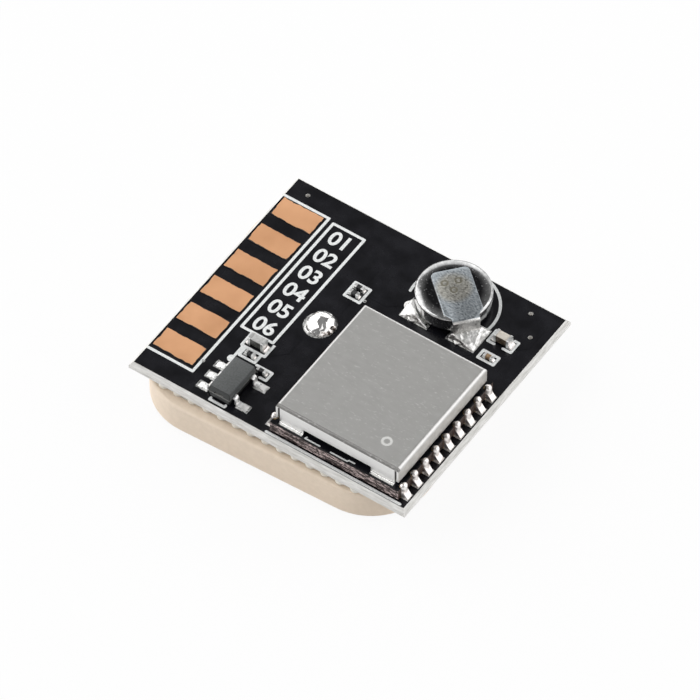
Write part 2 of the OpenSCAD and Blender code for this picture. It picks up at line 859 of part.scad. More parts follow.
module receiver_chip() {
    color([0.12, 0.12, 0.13])
        on_module(module_top_z + copper_t)
            translate([receiver_x, receiver_y, 0])
                slab(receiver_side, receiver_side, receiver_h);
}

module receiver_terminals() {
    middle = receiver_side - 2 * (terminal_l + terminal_band);
    color([0.78, 0.77, 0.74])
        on_module(module_top_z)
            translate([receiver_x, receiver_y, 0]) {
                slab(middle, middle, copper_t);
                for (q = [0:3], i = [0:receiver_pins - 1])
                    rotate(q * 90)
                        translate([
                            (receiver_side - terminal_l) / 2,
                            (i - (receiver_pins - 1) / 2) * receiver_pitch,
                            0
                        ]) slab(terminal_l, terminal_w, copper_t);
            }
}

// A ceramic package along Y, flush with the column's right side
module in_column(y, w, z) {
    on_module(module_top_z + z) translate([column_x - w / 2, y, 0]) children();
}

module lid(w, l) {
    slab(w - 2 * lid_rim, l - 2 * lid_rim, lid_t);
}

module oscillator_base() {
    color([0.3, 0.27, 0.24])
        in_column(oscillator_y, oscillator_w, 0) slab(oscillator_w, oscillator_l, oscillator_h);
}

module oscillator_lid() {
    color([0.8, 0.76, 0.62])
        in_column(oscillator_y, oscillator_w, oscillator_h) lid(oscillator_w, oscillator_l);
}

module crystal_base() {
    color([0.3, 0.27, 0.24])
        in_column(crystal_y, crystal_w, 0) slab(crystal_w, crystal_l, crystal_h);
}

module crystal_lid() {
    color([0.8, 0.76, 0.62])
        in_column(crystal_y, crystal_w, crystal_h) lid(crystal_w, crystal_l);
}

module signal_amplifier() {
    color([0.12, 0.12, 0.13])
        in_column(amplifier_y, amplifier_w, 0) slab(amplifier_w, amplifier_l, amplifier_h);
}

module signal_filter() {
    color([0.7, 0.66, 0.58])
        in_column(filter_y, filter_w, 0) slab(filter_w, filter_l, filter_h);
}

module each_row_chip() {
    on_module(module_top_z)
        for (i = [0:row_count - 1])
            translate([row_x + i * row_step, row_y, 0]) rotate(90) children();
}

module row_capacitors() {
    color([0.66, 0.56, 0.44]) each_row_chip() chip_body(small);
}

module row_capacitor_ends() {
    color([0.8, 0.8, 0.79]) each_row_chip() chip_ends(small);
}

// The backup cell and its tabs

// Half of the can's outer section, rolled in at the rim below and rounded at the top edge
module cell_outline() {
    square([cell_r - cell_roll, rim_h]);
    translate([0, cell_roll]) {
        square([cell_r, rim_h - cell_roll - cell_edge]);
        square([cell_r - cell_edge, rim_h - cell_roll]);
    }
    translate([cell_r - cell_roll, cell_roll]) circle(cell_roll);
    translate([cell_r - cell_edge, rim_h - cell_edge]) circle(cell_edge);
}

module cell_can() {
    hollow_r = cell_r - cell_wall;
    roll_inner = cell_roll - cell_wall;
    color([0.62, 0.62, 0.63])
        on_cell(0, cell_z + cap_rise)
            rotate_extrude()
                difference() {
                    intersection() {
                        cell_outline();
                        square([cell_r, rim_h]);
                    }
                    translate([0, cell_roll]) square([hollow_r, rim_h - cell_wall - cell_roll]);
                    square([cell_r - cell_roll, cell_roll]);
                    translate([cell_r - cell_roll, cell_roll]) circle(roll_inner);
                }
}

module cell_gasket() {
    color([0.08, 0.08, 0.09])
        on_cell(0, cell_z + cap_rise)
            difference() {
                cylinder(r = cell_r - cell_roll, h = rim_h - cell_wall);
                translate([0, 0, -cell_wall]) cylinder(r = cap_r, h = 2 * cell_h);
            }
}

module cell_cap() {
    color([0.35, 0.35, 0.37])
        on_cell(0, cell_z) cylinder(r = cap_r, h = cell_h - cell_wall);
}

module at_upper_tab() {
    rotate(tab_turn) translate([0, tab_side, 0]) children();
}

module upper_tab_plate() {
    taper_start = neck_start - tab_taper;
    length = taper_start + tab_tail;
    translate([(taper_start - tab_tail) / 2, 0]) round_rect(length, tab_w, tab_corner);
    translate([taper_start - tab_corner, -tab_w / 2]) square([tab_corner, tab_w]);
    polygon([
        [taper_start, -tab_w / 2], [neck_start, -tab_neck / 2],
        [neck_start, tab_neck / 2], [taper_start, tab_w / 2]
    ]);
}

module upper_tab_leg() {
    rise = tab_t + cell_h + tab_t;
    translate([neck_start, 0, 0])
        sweep_y(tab_neck) step_profile(tab_shoulder, rise, tab_foot, tab_t, tab_bend);
}

module cell_upper_tab() {
    color([0.66, 0.67, 0.68])
        on_cell(0, land_z)
            at_upper_tab() {
                upper_tab_leg();
                translate([0, 0, tab_t + cell_h]) linear_extrude(tab_t) upper_tab_plate();
            }
}

module lower_tab_plate() {
    length = tab_tail + cell_r + low_tab_out;
    translate([length / 2 - tab_tail, 0, 0])
        linear_extrude(tab_t) round_rect(length, low_tab_w, tab_corner);
}

module cell_lower_tab() {
    color([0.66, 0.67, 0.68]) on_cell(tab_turn - 90, land_z) lower_tab_plate();
}

// Solder slopes from the squares up to the upper tab's leg and to the cell's side
module cell_solder() {
    side = tab_land - 2 * mound_rim;
    color([0.84, 0.85, 0.86]) {
        on_cell(0, land_z)
            difference() {
                hull() {
                    upper_square(side, mound_edge);
                    at_upper_tab() translate([leg_r + tab_t / 2, 0, 0])
                        slab(tab_t, tab_neck, upper_mound_h);
                }
                at_upper_tab() upper_tab_leg();
                at_upper_tab() translate([leg_r - far / 2, 0, -far / 2]) slab(far, far, far);
            }
        on_cell(0, land_z)
            difference() {
                hull() {
                    lower_square(side, mound_edge);
                    rotate(tab_turn - 90) translate([cell_r, 0, 0])
                        slab(2 * tab_t, lower_mound_w, lower_mound_h);
                }
                rotate(tab_turn - 90) lower_tab_plate();
                translate([0, 0, -far / 2]) cylinder(r = cell_r + mound_gap, h = far);
            }
    }
}

// The regulator

// A moulded section that is widest at half its height
module moulded_profile(w) {
    top = w / 2 - regulator_draft;
    mid = regulator_h / 2;
    polygon([
        [-top, 0], [top, 0], [w / 2, mid], [top, regulator_h], [-top, regulator_h], [-w / 2, mid]
    ]);
}

module regulator_body() {
    color([0.25, 0.26, 0.26])
        on_board([regulator_x, regulator_front], land_z + regulator_lift)
            intersection() {
                sweep_y(regulator_l) moulded_profile(regulator_w);
                sweep_x(regulator_w) moulded_profile(regulator_l);
            }
}

module regulator_leads() {
    color([0.8, 0.8, 0.79])
        on_board([regulator_x, regulator_front], land_z) each_lead()
            sweep_y(lead_w) step_profile(lead_shoulder, lead_rise, lead_foot, lead_t, lead_bend);
}

module regulator_solder() {
    color([0.84, 0.85, 0.86])
        on_board([regulator_x, regulator_front], land_z) each_lead()
            translate([lead_reach, 0, 0]) sweep_y(lead_w) polygon([[0, 0], [lead_slope, 0], [0, lead_t]]);
}

// The chips on the carrier

module input_capacitor() {
    color([0.62, 0.6, 0.57]) on_board(input_at, land_z) chip_body(large);
}

module input_capacitor_ends() {
    color([0.8, 0.8, 0.79]) on_board(input_at, land_z) chip_ends(large);
}

module backup_capacitor() {
    color([0.76, 0.68, 0.56]) on_board(backup_at, land_z) chip_body(large);
}

module backup_capacitor_ends() {
    color([0.8, 0.8, 0.79]) on_board(backup_at, land_z) chip_ends(large);
}

module bypass_capacitor() {
    color([0.55, 0.42, 0.28]) on_board(bypass_at, land_z) chip_body(small);
}

module bypass_capacitor_ends() {
    color([0.8, 0.8, 0.79]) on_board(bypass_at, land_z) chip_ends(small);
}

module chip_resistors() {
    color([0.16, 0.16, 0.17])
        for (at = resistors_at)
            on_board(at, land_z) chip_body(small);
}

module chip_resistor_ends() {
    color([0.8, 0.8, 0.79])
        for (at = resistors_at)
            on_board(at, land_z) chip_ends(small);
}

module chip_solder() {
    color([0.84, 0.85, 0.86]) {
        on_board(input_at, land_z) chip_fillets(large);
        on_board(backup_at, land_z) chip_fillets(large);
        on_board(bypass_at, land_z) chip_fillets(small);
        for (at = resistors_at)
            on_board(at, land_z) chip_fillets(small);
    }
}

carrier_board();
edge_pads();
solder_lands();
adhesive_tape();
antenna_ceramic();
antenna_ground();
antenna_patch();
feed_pin();
feed_solder();
receiver_board();
castellation_plating();
castellation_solder();
shield_land();
shield_can();
shield_solder();
receiver_chip();
receiver_terminals();
oscillator_base();
oscillator_lid();
crystal_base();
crystal_lid();
signal_filter();
signal_amplifier();
row_capacitors();
row_capacitor_ends();
cell_can();
cell_gasket();
cell_cap();
cell_upper_tab();
cell_lower_tab();
cell_solder();
regulator_body();
regulator_leads();
regulator_solder();
input_capacitor();
input_capacitor_ends();
backup_capacitor();
backup_capacitor_ends();
bypass_capacitor();
bypass_capacitor_ends();
chip_resistors();
chip_resistor_ends();
chip_solder();
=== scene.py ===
# %% [markdown]
# # A satellite positioning module
# The real thing is a thumbnail of a circuit: a black carrier board with six gold pads, a receiver under a
# folded shield can, a coin cell with welded tabs, a small regulator, and a ceramic antenna taped
# underneath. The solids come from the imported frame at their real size. This lesson gives them their
# finish: solder that flowed, edges that catch light, white ink on the board, and a plain studio round it
# all.

# %% Load the frame
import json
import math
import bpy
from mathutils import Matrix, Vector


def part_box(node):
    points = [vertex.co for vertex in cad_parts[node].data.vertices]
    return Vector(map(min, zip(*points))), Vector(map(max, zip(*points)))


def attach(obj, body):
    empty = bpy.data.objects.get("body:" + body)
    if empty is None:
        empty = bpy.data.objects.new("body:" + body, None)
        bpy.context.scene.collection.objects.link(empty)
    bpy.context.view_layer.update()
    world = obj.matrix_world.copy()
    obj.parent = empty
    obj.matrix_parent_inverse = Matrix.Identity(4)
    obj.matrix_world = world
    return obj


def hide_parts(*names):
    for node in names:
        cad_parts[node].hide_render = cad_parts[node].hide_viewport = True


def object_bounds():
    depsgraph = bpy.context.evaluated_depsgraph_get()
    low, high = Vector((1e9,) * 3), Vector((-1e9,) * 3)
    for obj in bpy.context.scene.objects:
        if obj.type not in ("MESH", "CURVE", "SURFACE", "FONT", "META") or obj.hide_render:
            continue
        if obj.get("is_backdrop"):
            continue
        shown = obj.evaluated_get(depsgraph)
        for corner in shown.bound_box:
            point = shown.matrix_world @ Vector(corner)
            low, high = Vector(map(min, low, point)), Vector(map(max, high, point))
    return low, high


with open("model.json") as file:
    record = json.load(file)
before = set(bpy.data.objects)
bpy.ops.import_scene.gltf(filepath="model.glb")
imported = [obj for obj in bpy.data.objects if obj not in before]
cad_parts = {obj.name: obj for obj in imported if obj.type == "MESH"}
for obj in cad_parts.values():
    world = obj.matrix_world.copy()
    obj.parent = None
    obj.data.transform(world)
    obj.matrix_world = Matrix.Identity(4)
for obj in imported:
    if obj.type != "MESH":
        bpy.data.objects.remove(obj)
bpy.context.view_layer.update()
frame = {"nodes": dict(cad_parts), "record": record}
MM = 0.001

# %% [markdown]
# ## The camera
# A product photograph is taken from far away with a long lens, so that parallel edges stay parallel. The
# camera stands half a metre off and looks down on the board's corner. Its direction is worked out from
# two angles, and the aim is a point on the board, moved a little so that the object sits in the frame as
# it does in the photograph.

# %% Camera
AZIMUTH = math.radians(34.54)
ELEVATION = math.radians(51.34)
CAMERA_DISTANCE = 500 * MM
PIXELS_PER_MM = 16.2
FRAME_SHIFT = Vector((-0.5, -10.65)) / PIXELS_PER_MM
AIM = Vector((-0.05, 0.1, 3.53))
LENS = 416.57
SENSOR = 36
CLIP = (0.05, 5)

back = Vector((
    math.sin(AZIMUTH) * math.cos(ELEVATION),
    -math.cos(AZIMUTH) * math.cos(ELEVATION),
    math.sin(ELEVATION),
))
right = Vector((math.cos(AZIMUTH), math.sin(AZIMUTH), 0))
up = back.cross(right)
target = (AIM + right * FRAME_SHIFT.x + up * FRAME_SHIFT.y) * MM
bpy.ops.object.select_all(action="DESELECT")
bpy.ops.object.camera_add(location=target + back * CAMERA_DISTANCE)
camera = bpy.context.object
camera.rotation_euler = back.to_track_quat("Z", "Y").to_euler()
camera.data.lens = LENS
camera.data.sensor_width = SENSOR
camera.data.clip_start, camera.data.clip_end = CLIP
bpy.context.scene.camera = camera
bpy.context.scene.view_settings.view_transform = "Standard"
print("camera at", [round(v, 3) for v in camera.location])

# %% [markdown]
# ## Nodes in code
# A node tree is easier to read when adding a node is one line. The first helper makes a node, sets its
# options, and fills its inputs: a socket is linked, and any other value is typed in. The other two are
# for sums, on numbers and on vectors, and give back the result's socket. Every tree below is built with
# them.

# %% Node helpers


def add_node(tree, kind, inputs=None, **options):
    made = tree.nodes.new(kind)
    for key, value in options.items():
        setattr(made, key, value)
    for key, value in (inputs or {}).items():
        if isinstance(value, bpy.types.NodeSocket):
            tree.links.new(value, made.inputs[key])
        else:
            made.inputs[key].default_value = value
    return made


def calc(tree, operation, *values):
    made = add_node(tree, "ShaderNodeMath", dict(enumerate(values)), operation=operation)
    return made.outputs[0]


def vector_calc(tree, operation, *values):
    made = add_node(tree, "ShaderNodeVectorMath", dict(enumerate(values)), operation=operation)
    return made.outputs["Value" if operation == "LENGTH" else "Vector"]


# %% [markdown]
# ## The studio
# The floor is a white sheet. The camera, and anything glossy, sees it glow a little, which lifts it to
# the white of the photograph, while the rest of its brightness is ordinary paper that keeps the shadow
# under the board. Light Path tells the rays apart, and it stays in the floor's own material. From below
# the sheet is clear, so that the antenna can be looked at too.

# %% Floor
FLOOR_SIZE = 3.0
FLOOR_GLOW = 0.92
PAPER = (0.86, 0.86, 0.86, 1)

bpy.ops.mesh.primitive_plane_add(size=FLOOR_SIZE)
floor = bpy.context.object
floor.name = "floor"
paper = bpy.data.materials.new("white_paper")
paper.use_nodes = True
tree = paper.node_tree
path = add_node(tree, "ShaderNodeLightPath")
sees = calc(tree, "MAXIMUM", path.outputs["Is Camera Ray"], path.outputs["Is Glossy Ray"])
seen = calc(tree, "MAXIMUM", sees, path.outputs["Is Transmission Ray"])
glow = add_node(tree, "ShaderNodeEmission", {"Color": (1, 1, 1, 1), "Strength": 1.0})
matt = add_node(tree, "ShaderNodeBsdfDiffuse", {"Color": PAPER})
share = calc(tree, "MULTIPLY", seen, FLOOR_GLOW)
mixed = add_node(tree, "ShaderNodeMixShader", {0: share, 1: matt.outputs[0], 2: glow.outputs[0]})
below = add_node(tree, "ShaderNodeNewGeometry").outputs["Backfacing"]
clear = add_node(tree, "ShaderNodeBsdfTransparent")
sheet = add_node(tree, "ShaderNodeMixShader", {0: below, 1: mixed.outputs[0], 2: clear.outputs[0]})
tree.links.new(sheet.outputs[0], tree.nodes["Material Output"].inputs["Surface"])
floor.data.materials.append(paper)
floor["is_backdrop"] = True
print("floor is", FLOOR_SIZE, "m wide")

# %% [markdown]
# ## The lights
# Small metal parts are mostly reflections, so the lights are chosen for what the metal sees. Large soft
# panels stand left and right, and long low ones stand at the back for the edges that turn away. The
# front, and the direction straight across from the camera, are left to a dim grey room: the flat,
# polished mask then stays black while the rounded solder still finds bright panels.

# %% Lights
ROOM_GREY = 0.24
LIGHT_DISTANCE = 0.6
PANELS = (
    ("left_panel", (-0.80, -0.32, 0.54), (0.90, 0.80), 4.7),
    ("right_panel", (0.88, 0.38, 0.50), (0.80, 0.70), 2.8),
    ("back_left_panel", (-0.66, 0.66, 0.30), (0.60, 0.36), 1.0),
    ("back_panel", (0.20, 0.95, 0.33), (0.80, 0.42), 1.1),
)

room = bpy.data.worlds.new("grey_room")
room.use_nodes = True
room.node_tree.nodes["Background"].inputs["Color"].default_value = (ROOM_GREY, ROOM_GREY, ROOM_GREY, 1)
bpy.context.scene.world = room
for name, way, size, watts in PANELS:
    way = Vector(way).normalized()
    bpy.ops.object.light_add(type="AREA", location=way * LIGHT_DISTANCE)
    panel = bpy.context.object
    panel.name = name
    panel.data.shape = "RECTANGLE"
    panel.data.size, panel.data.size_y = size
    panel.data.energy = watts
    panel.rotation_euler = way.to_track_quat("Z", "Y").to_euler()
print("panels:", [name for name, *_ in PANELS])

# %% [markdown]
# ## A grain for every surface
# Nothing real has one flat colour. Plating is cloudy, moulding is speckled and fired clay is grainy. One
# node group makes that grain: noise on the object's own coordinates, stretched between a low and a high
# cut into a mask. The scale counts features per metre, so 8000 gives grains of about an eighth of a
# millimetre.

# %% Grain group
grain_group = bpy.data.node_groups.new("grain", "ShaderNodeTree")
for name, value in (("Scale", 8000.0), ("Detail", 3.0), ("Low", 0.35), ("High", 0.65)):
    socket = grain_group.interface.new_socket(name, in_out="INPUT", socket_type="NodeSocketFloat")
    socket.default_value = value
stretch = grain_group.interface.new_socket("Stretch", in_out="INPUT", socket_type="NodeSocketVector")
stretch.default_value = (1, 1, 1)
grain_group.interface.new_socket("Mask", in_out="OUTPUT", socket_type="NodeSocketFloat")
entry = add_node(grain_group, "NodeGroupInput")
place = add_node(grain_group, "ShaderNodeTexCoord")
pulled = vector_calc(grain_group, "MULTIPLY", place.outputs["Object"], entry.outputs["Stretch"])
noise = add_node(grain_group, "ShaderNodeTexNoise", {
    "Vector": pulled, "Scale": entry.outputs["Scale"], "Detail": entry.outputs["Detail"],
})
cut = add_node(grain_group, "ShaderNodeMapRange", {
    "Value": noise.outputs["Fac"], "From Min": entry.outputs["Low"], "From Max": entry.outputs["High"],
})
leave = add_node(grain_group, "NodeGroupOutput")
grain_group.links.new(cut.outputs["Result"], leave.inputs["Mask"])
print("group:", grain_group.name)

# %% [markdown]
# ## A ring mask
# Printed rings and weld marks are circles on a flat face. This group measures the distance from an
# upright axis and keeps what lies within half a width of the ring's radius. It puts out a mask and
# nothing else.

# %% Ring group
LEVEL = (1, 1, 0)
SHARP_SHARE = 0.7

ring_group = bpy.data.node_groups.new("ring", "ShaderNodeTree")
ring_group.interface.new_socket("Centre", in_out="INPUT", socket_type="NodeSocketVector")
for name in ("Radius", "Half Width"):
    ring_group.interface.new_socket(name, in_out="INPUT", socket_type="NodeSocketFloat")
ring_group.interface.new_socket("Mask", in_out="OUTPUT", socket_type="NodeSocketFloat")
entry = add_node(ring_group, "NodeGroupInput")
place = add_node(ring_group, "ShaderNodeTexCoord")
offset = vector_calc(ring_group, "SUBTRACT", place.outputs["Object"], entry.outputs["Centre"])
length = vector_calc(ring_group, "LENGTH", vector_calc(ring_group, "MULTIPLY", offset, LEVEL))
away = calc(ring_group, "SUBTRACT", length, entry.outputs["Radius"])
size = calc(ring_group, "ABSOLUTE", away)
soft = calc(ring_group, "MULTIPLY", entry.outputs["Half Width"], SHARP_SHARE)
mask = add_node(ring_group, "ShaderNodeMapRange", {
    "Value": size, "From Min": entry.outputs["Half Width"], "From Max": soft,
})
leave = add_node(ring_group, "NodeGroupOutput")
ring_group.links.new(mask.outputs["Result"], leave.inputs["Mask"])
print("group:", ring_group.name)

# %% [markdown]
# ## A finish in one call
# Most finishes differ only in their two colours, the size of their grain, how rough they are and how deep
# the grain is. This function builds such a material round its own Principled shader. The grain drives the
# colour, the roughness and a bump, and what stays the same all over is typed straight into the shader's
# sockets.

# %% Finish builder
BUMP_DEPTH = 10e-6


def open_material(name):
    material = bpy.data.materials.new(name)
    material.use_nodes = True
    return material, material.node_tree, material.node_tree.nodes["Principled BSDF"]


def grain(tree, scale, low=0.35, high=0.65, detail=3.0, stretch=(1, 1, 1)):
    settings = {"Scale": scale, "Detail": detail, "Low": low, "High": high, "Stretch": stretch}
    made = add_node(tree, "ShaderNodeGroup", settings, node_tree=grain_group)
    return made.outputs["Mask"]


def blend(tree, factor, first, second):
    made = add_node(tree, "ShaderNodeMix", {0: factor, 6: first, 7: second}, data_type="RGBA")
    return made.outputs[2]


def between(tree, mask, low, high):
    made = add_node(tree, "ShaderNodeMapRange", {"Value": mask, "To Min": low, "To Max": high})
    return made.outputs["Result"]


def bump(tree, height, strength, depth=BUMP_DEPTH):
    made = add_node(tree, "ShaderNodeBump", {"Height": height, "Strength": strength, "Distance": depth})
    return made.outputs["Normal"]


def grainy(name, dark, light, scale, rough, metallic=0.0, strength=0.3, depth=BUMP_DEPTH):
    material, tree, shader = open_material(name)
    mask = grain(tree, scale)
    tree.links.new(blend(tree, mask, (*dark, 1), (*light, 1)), shader.inputs["Base Color"])
    tree.links.new(between(tree, mask, *rough), shader.inputs["Roughness"])
    tree.links.new(bump(tree, mask, strength, depth), shader.inputs["Normal"])
    shader.inputs["Metallic"].default_value = metallic
    return material


GRAINS = (
    ("tape", (0.74, 0.71, 0.63), (0.86, 0.84, 0.78), 3500, (0.65, 0.85), 0.0, 0.5),
    ("antenna_block", (0.79, 0.66, 0.525), (0.835, 0.705, 0.57), 2600, (0.5, 0.68)),
    ("silver_film", (0.66, 0.65, 0.62), (0.76, 0.75, 0.72), 9000, (0.34, 0.5), 0.9, 0.12),
    ("pin_metal", (0.66, 0.65, 0.61), (0.78, 0.77, 0.74), 6000, (0.24, 0.36), 1.0, 0.10),
    ("tinned_copper", (0.62, 0.62, 0.60), (0.86, 0.86, 0.85), 6000, (0.18, 0.45), 1.0),
    ("gold_plating", (0.56, 0.38, 0.18), (0.80, 0.60, 0.33), 9000, (0.25, 0.5), 1.0),
    ("moulding", (0.012, 0.012, 0.013), (0.03, 0.03, 0.032), 12000, (0.45, 0.65)),
    ("package_ceramic", (0.09, 0.075, 0.06), (0.15, 0.13, 0.10), 9000, (0.4, 0.6)),
    ("lid_metal", (0.62, 0.56, 0.40), (0.76, 0.70, 0.54), 6000, (0.25, 0.4), 1.0),
    ("tan_ceramic", (0.20, 0.12, 0.06), (0.36, 0.24, 0.13), 9000, (0.4, 0.6)),
    ("chip_tin", (0.74, 0.74, 0.73), (0.90, 0.90, 0.89), 3000, (0.28, 0.42), 1.0, 0.12),
    ("gasket", (0.010, 0.010, 0.010), (0.03, 0.03, 0.03), 9000, (0.5, 0.8)),
    ("lead_tin", (0.62, 0.62, 0.61), (0.94, 0.94, 0.93), 4500, (0.24, 0.50), 1.0, 0.9, 30e-6),
    ("resistor_film", (0.010, 0.010, 0.011), (0.05, 0.05, 0.052), 8000, (0.2, 0.4)),
    ("boot_solder", (0.80, 0.74, 0.71), (0.96, 0.93, 0.91), 2400, (0.28, 0.46), 1.0, 0.35, 20e-6),
    ("satin_solder", (0.68, 0.68, 0.66), (0.93, 0.92, 0.91), 2600, (0.34, 0.50), 1.0, 0.16, 20e-6),
    ("cell_steel", (0.42, 0.42, 0.42), (0.62, 0.62, 0.62), 3000, (0.12, 0.3), 1.0, 0.2),
    ("solder", (0.74, 0.73, 0.72), (0.92, 0.91, 0.90), 2400, (0.10, 0.24), 1.0, 0.30, 20e-6),
)
finishes = {name: grainy(name, *look) for name, *look in GRAINS}
print("grainy finishes:", len(finishes))

# %% [markdown]
# ## The carrier's two faces
# A circuit board is black only where the mask was printed. Its edges were scored and snapped, so there
# the pale glass laminate shows, with thin lines of weave. The board is one solid, so the material asks
# how high a point lies: the mask is a skin on the two flat faces, and all between them is laminate. The
# receiver's board gets the same treatment, with dark castellated sides, and front and back sides where
# the cut layers show as reddish streaks under flux.

# %% Board finishes
SKIN = 4e-6
WEAVE_CUT = (0.3, 0.7, 4.0)
WEAVE_DEPTH = 25e-6
LAYERS = (15000, 0.47, 0.58, 5.0, (0.09, 0.09, 1.0))
CHIPS = (11000, 0.40, 0.58, 3.0, (0.5, 0.5, 1.0))
MASK_CLOUD = (900, 0.3, 0.7)
MASK_ROUGH = (0.20, 0.30)
MASK_COLOURS = ((0.004, 0.004, 0.0055, 1), (0.008, 0.008, 0.011, 1))
MASK_SHINE = 0.28


def position(tree):
    place = add_node(tree, "ShaderNodeTexCoord")
    return add_node(tree, "ShaderNodeSeparateXYZ", {0: place.outputs["Object"]}).outputs


def board_finish(name, node, dark, light, scale, stretch, edge_rough, edge_strength, front=None):
    material, tree, shader = open_material(name)
    low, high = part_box(node)
    axes = position(tree)
    above = calc(tree, "GREATER_THAN", axes["Z"], high.z - SKIN)
    below = calc(tree, "LESS_THAN", axes["Z"], low.z + SKIN)
    skin = calc(tree, "MAXIMUM", above, below)
    weave = grain(tree, scale, *WEAVE_CUT, stretch)
    cloud = grain(tree, *MASK_CLOUD)
    edge = blend(tree, weave, (*dark, 1), (*light, 1))
    if front is not None:
        nearest = calc(tree, "LESS_THAN", axes["Y"], low.y + SKIN)
        farthest = calc(tree, "GREATER_THAN", axes["Y"], high.y - SKIN)
        routed = calc(tree, "MAXIMUM", nearest, farthest)
        streaks = calc(tree, "MULTIPLY", grain(tree, *LAYERS), grain(tree, *CHIPS))
        stain = blend(tree, streaks, *front)
        edge = blend(tree, routed, edge, stain)
    face = blend(tree, cloud, *MASK_COLOURS)
    tree.links.new(blend(tree, skin, edge, face), shader.inputs["Base Color"])
    edge_gloss = between(tree, weave, *edge_rough)
    face_gloss = between(tree, cloud, *MASK_ROUGH)
    gloss = add_node(tree, "ShaderNodeMix", {0: skin, 2: edge_gloss, 3: face_gloss})
    tree.links.new(gloss.outputs[0], shader.inputs["Roughness"])
    bare = calc(tree, "SUBTRACT", 1.0, skin)
    relief = calc(tree, "MULTIPLY", weave, bare)
    tree.links.new(bump(tree, relief, edge_strength, WEAVE_DEPTH), shader.inputs["Normal"])
    shader.inputs["Specular IOR Level"].default_value = MASK_SHINE
    return material


finishes["board_mask"] = board_finish(
    "board_mask", "carrier_board", (0.58, 0.57, 0.54), (0.86, 0.85, 0.83),
    scale=9000, stretch=(0.12, 0.12, 1.0), edge_rough=(0.6, 0.85), edge_strength=0.5)
finishes["receiver_laminate"] = board_finish(
    "receiver_laminate", "receiver_board", (0.012, 0.007, 0.006), (0.085, 0.055, 0.045),
    scale=7000, stretch=(0.3, 0.3, 0.8), edge_rough=(0.25, 0.6), edge_strength=0.9,
    front=((0.022, 0.011, 0.010, 1), (0.72, 0.58, 0.56, 1)))
print("board finishes:", finishes["board_mask"].name, finishes["receiver_laminate"].name)

# %% [markdown]
# ## The gold pads
# The pads are thin gold over copper, and the mask's edge nibbles at them here and there. The distance to
# a pad's edge is found from the pads' own spacing: the position is wrapped into one pad, and where the
# distance is smaller than a noise, the pad is covered by mask.

# %% Pad finish
PAD_PITCH = 2.54 * MM
PAD_HALF = Vector((1.5, 0.8)) * MM
NIBBLE = 0.10 * MM
BITES = (1500, 0.45, 0.80, 4.0)
SHEEN = (500, 0.3, 0.7)
PAD_METAL = 0.45
PAD_ROUGH = (0.42, 0.55)

pad_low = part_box("edge_pads")[0]
material, tree, shader = open_material("pad_gold")
axes = position(tree)
first = calc(tree, "SUBTRACT", axes["Y"], pad_low.y + PAD_HALF.y)
across = calc(tree, "WRAP", first, PAD_PITCH / 2, -PAD_PITCH / 2)
along = calc(tree, "SUBTRACT", axes["X"], pad_low.x + PAD_HALF.x)
margins = []
for half, part in ((PAD_HALF.y, across), (PAD_HALF.x, along)):
    margins.append(calc(tree, "SUBTRACT", half, calc(tree, "ABSOLUTE", part)))
bites = calc(tree, "MULTIPLY", grain(tree, *BITES), NIBBLE)
covered = calc(tree, "LESS_THAN", calc(tree, "MINIMUM", *margins), bites)
sheen = grain(tree, *SHEEN)
gold = blend(tree, sheen, (0.68, 0.345, 0.17, 1), (0.76, 0.41, 0.215, 1))
tree.links.new(blend(tree, covered, gold, MASK_COLOURS[1]), shader.inputs["Base Color"])
plated = calc(tree, "SUBTRACT", 1.0, covered)
half_metal = calc(tree, "MULTIPLY", plated, PAD_METAL)
tree.links.new(half_metal, shader.inputs["Metallic"])
tree.links.new(between(tree, sheen, *PAD_ROUGH), shader.inputs["Roughness"])
tree.links.new(bump(tree, grain(tree, 9000), 0.15), shader.inputs["Normal"])
finishes["pad_gold"] = material
print("pad finish:", material.name)

# %% [markdown]
# ## The can's sheet
# The shield can is dull plated sheet, with a fine drawn grain. Its top, walls and folds are one sheet,
# and their different colours are painted light and shade: the flat top is painted greyer than the walls,
# the folds are painted darker, the front one darkest to take out a highlight there, and the right wall is
# painted darker too. A pale ring is printed near one corner to mark the first pin. The ring group places
# the print, and the place of a point tells the top, the folds and the walls apart.

# %% Can finish
MARK_RING = (17.42, 2.12)
MARK_RADIUS = 0.28 * MM
MARK_HALF = 0.10 * MM
WEB = 0.24
FOLD = 0.20 * MM
SHEET_CLOUD = (3200, 0.25, 0.75, 4.0, (0.35, 1.0, 1.0))
SHEET_SPECKS = (9000, 0.60, 0.80, 3.0, (0.4, 1.0, 1.0))
SHEET_ROUGH = (0.44, 0.48)

board_low, board_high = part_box("carrier_board")
corner = Vector((board_low.x + WEB * MM, board_low.y + WEB * MM, board_high.z))


def spot(x, y, rise=0.0):
    return corner + Vector((x, y, rise)) * MM


def ring(tree, centre, radius, half):
    settings = {"Centre": spot(*centre), "Radius": radius, "Half Width": half}
    made = add_node(tree, "ShaderNodeGroup", settings, node_tree=ring_group)
    return made.outputs["Mask"]


material, tree, shader = open_material("can_sheet")
cloud = grain(tree, *SHEET_CLOUD)
specks = grain(tree, *SHEET_SPECKS)
axes = position(tree)
can_low, can_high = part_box("shield_can")
lid = calc(tree, "GREATER_THAN", axes["Z"], can_high.z - SKIN)
fold = calc(tree, "GREATER_THAN", axes["Z"], can_high.z - FOLD)
at_front = calc(tree, "LESS_THAN", axes["Y"], can_low.y + FOLD)
at_right = calc(tree, "GREATER_THAN", axes["X"], can_high.x - SKIN)
# Painted light and shade: the walls get a lit colour, and the right wall a darker painted shade.
lit_wall = blend(tree, cloud, (0.76, 0.755, 0.745, 1), (0.81, 0.805, 0.795, 1))
shaded_right_wall = blend(tree, cloud, (0.52, 0.50, 0.47, 1), (0.64, 0.625, 0.60, 1))
walls = blend(tree, at_right, lit_wall, shaded_right_wall)
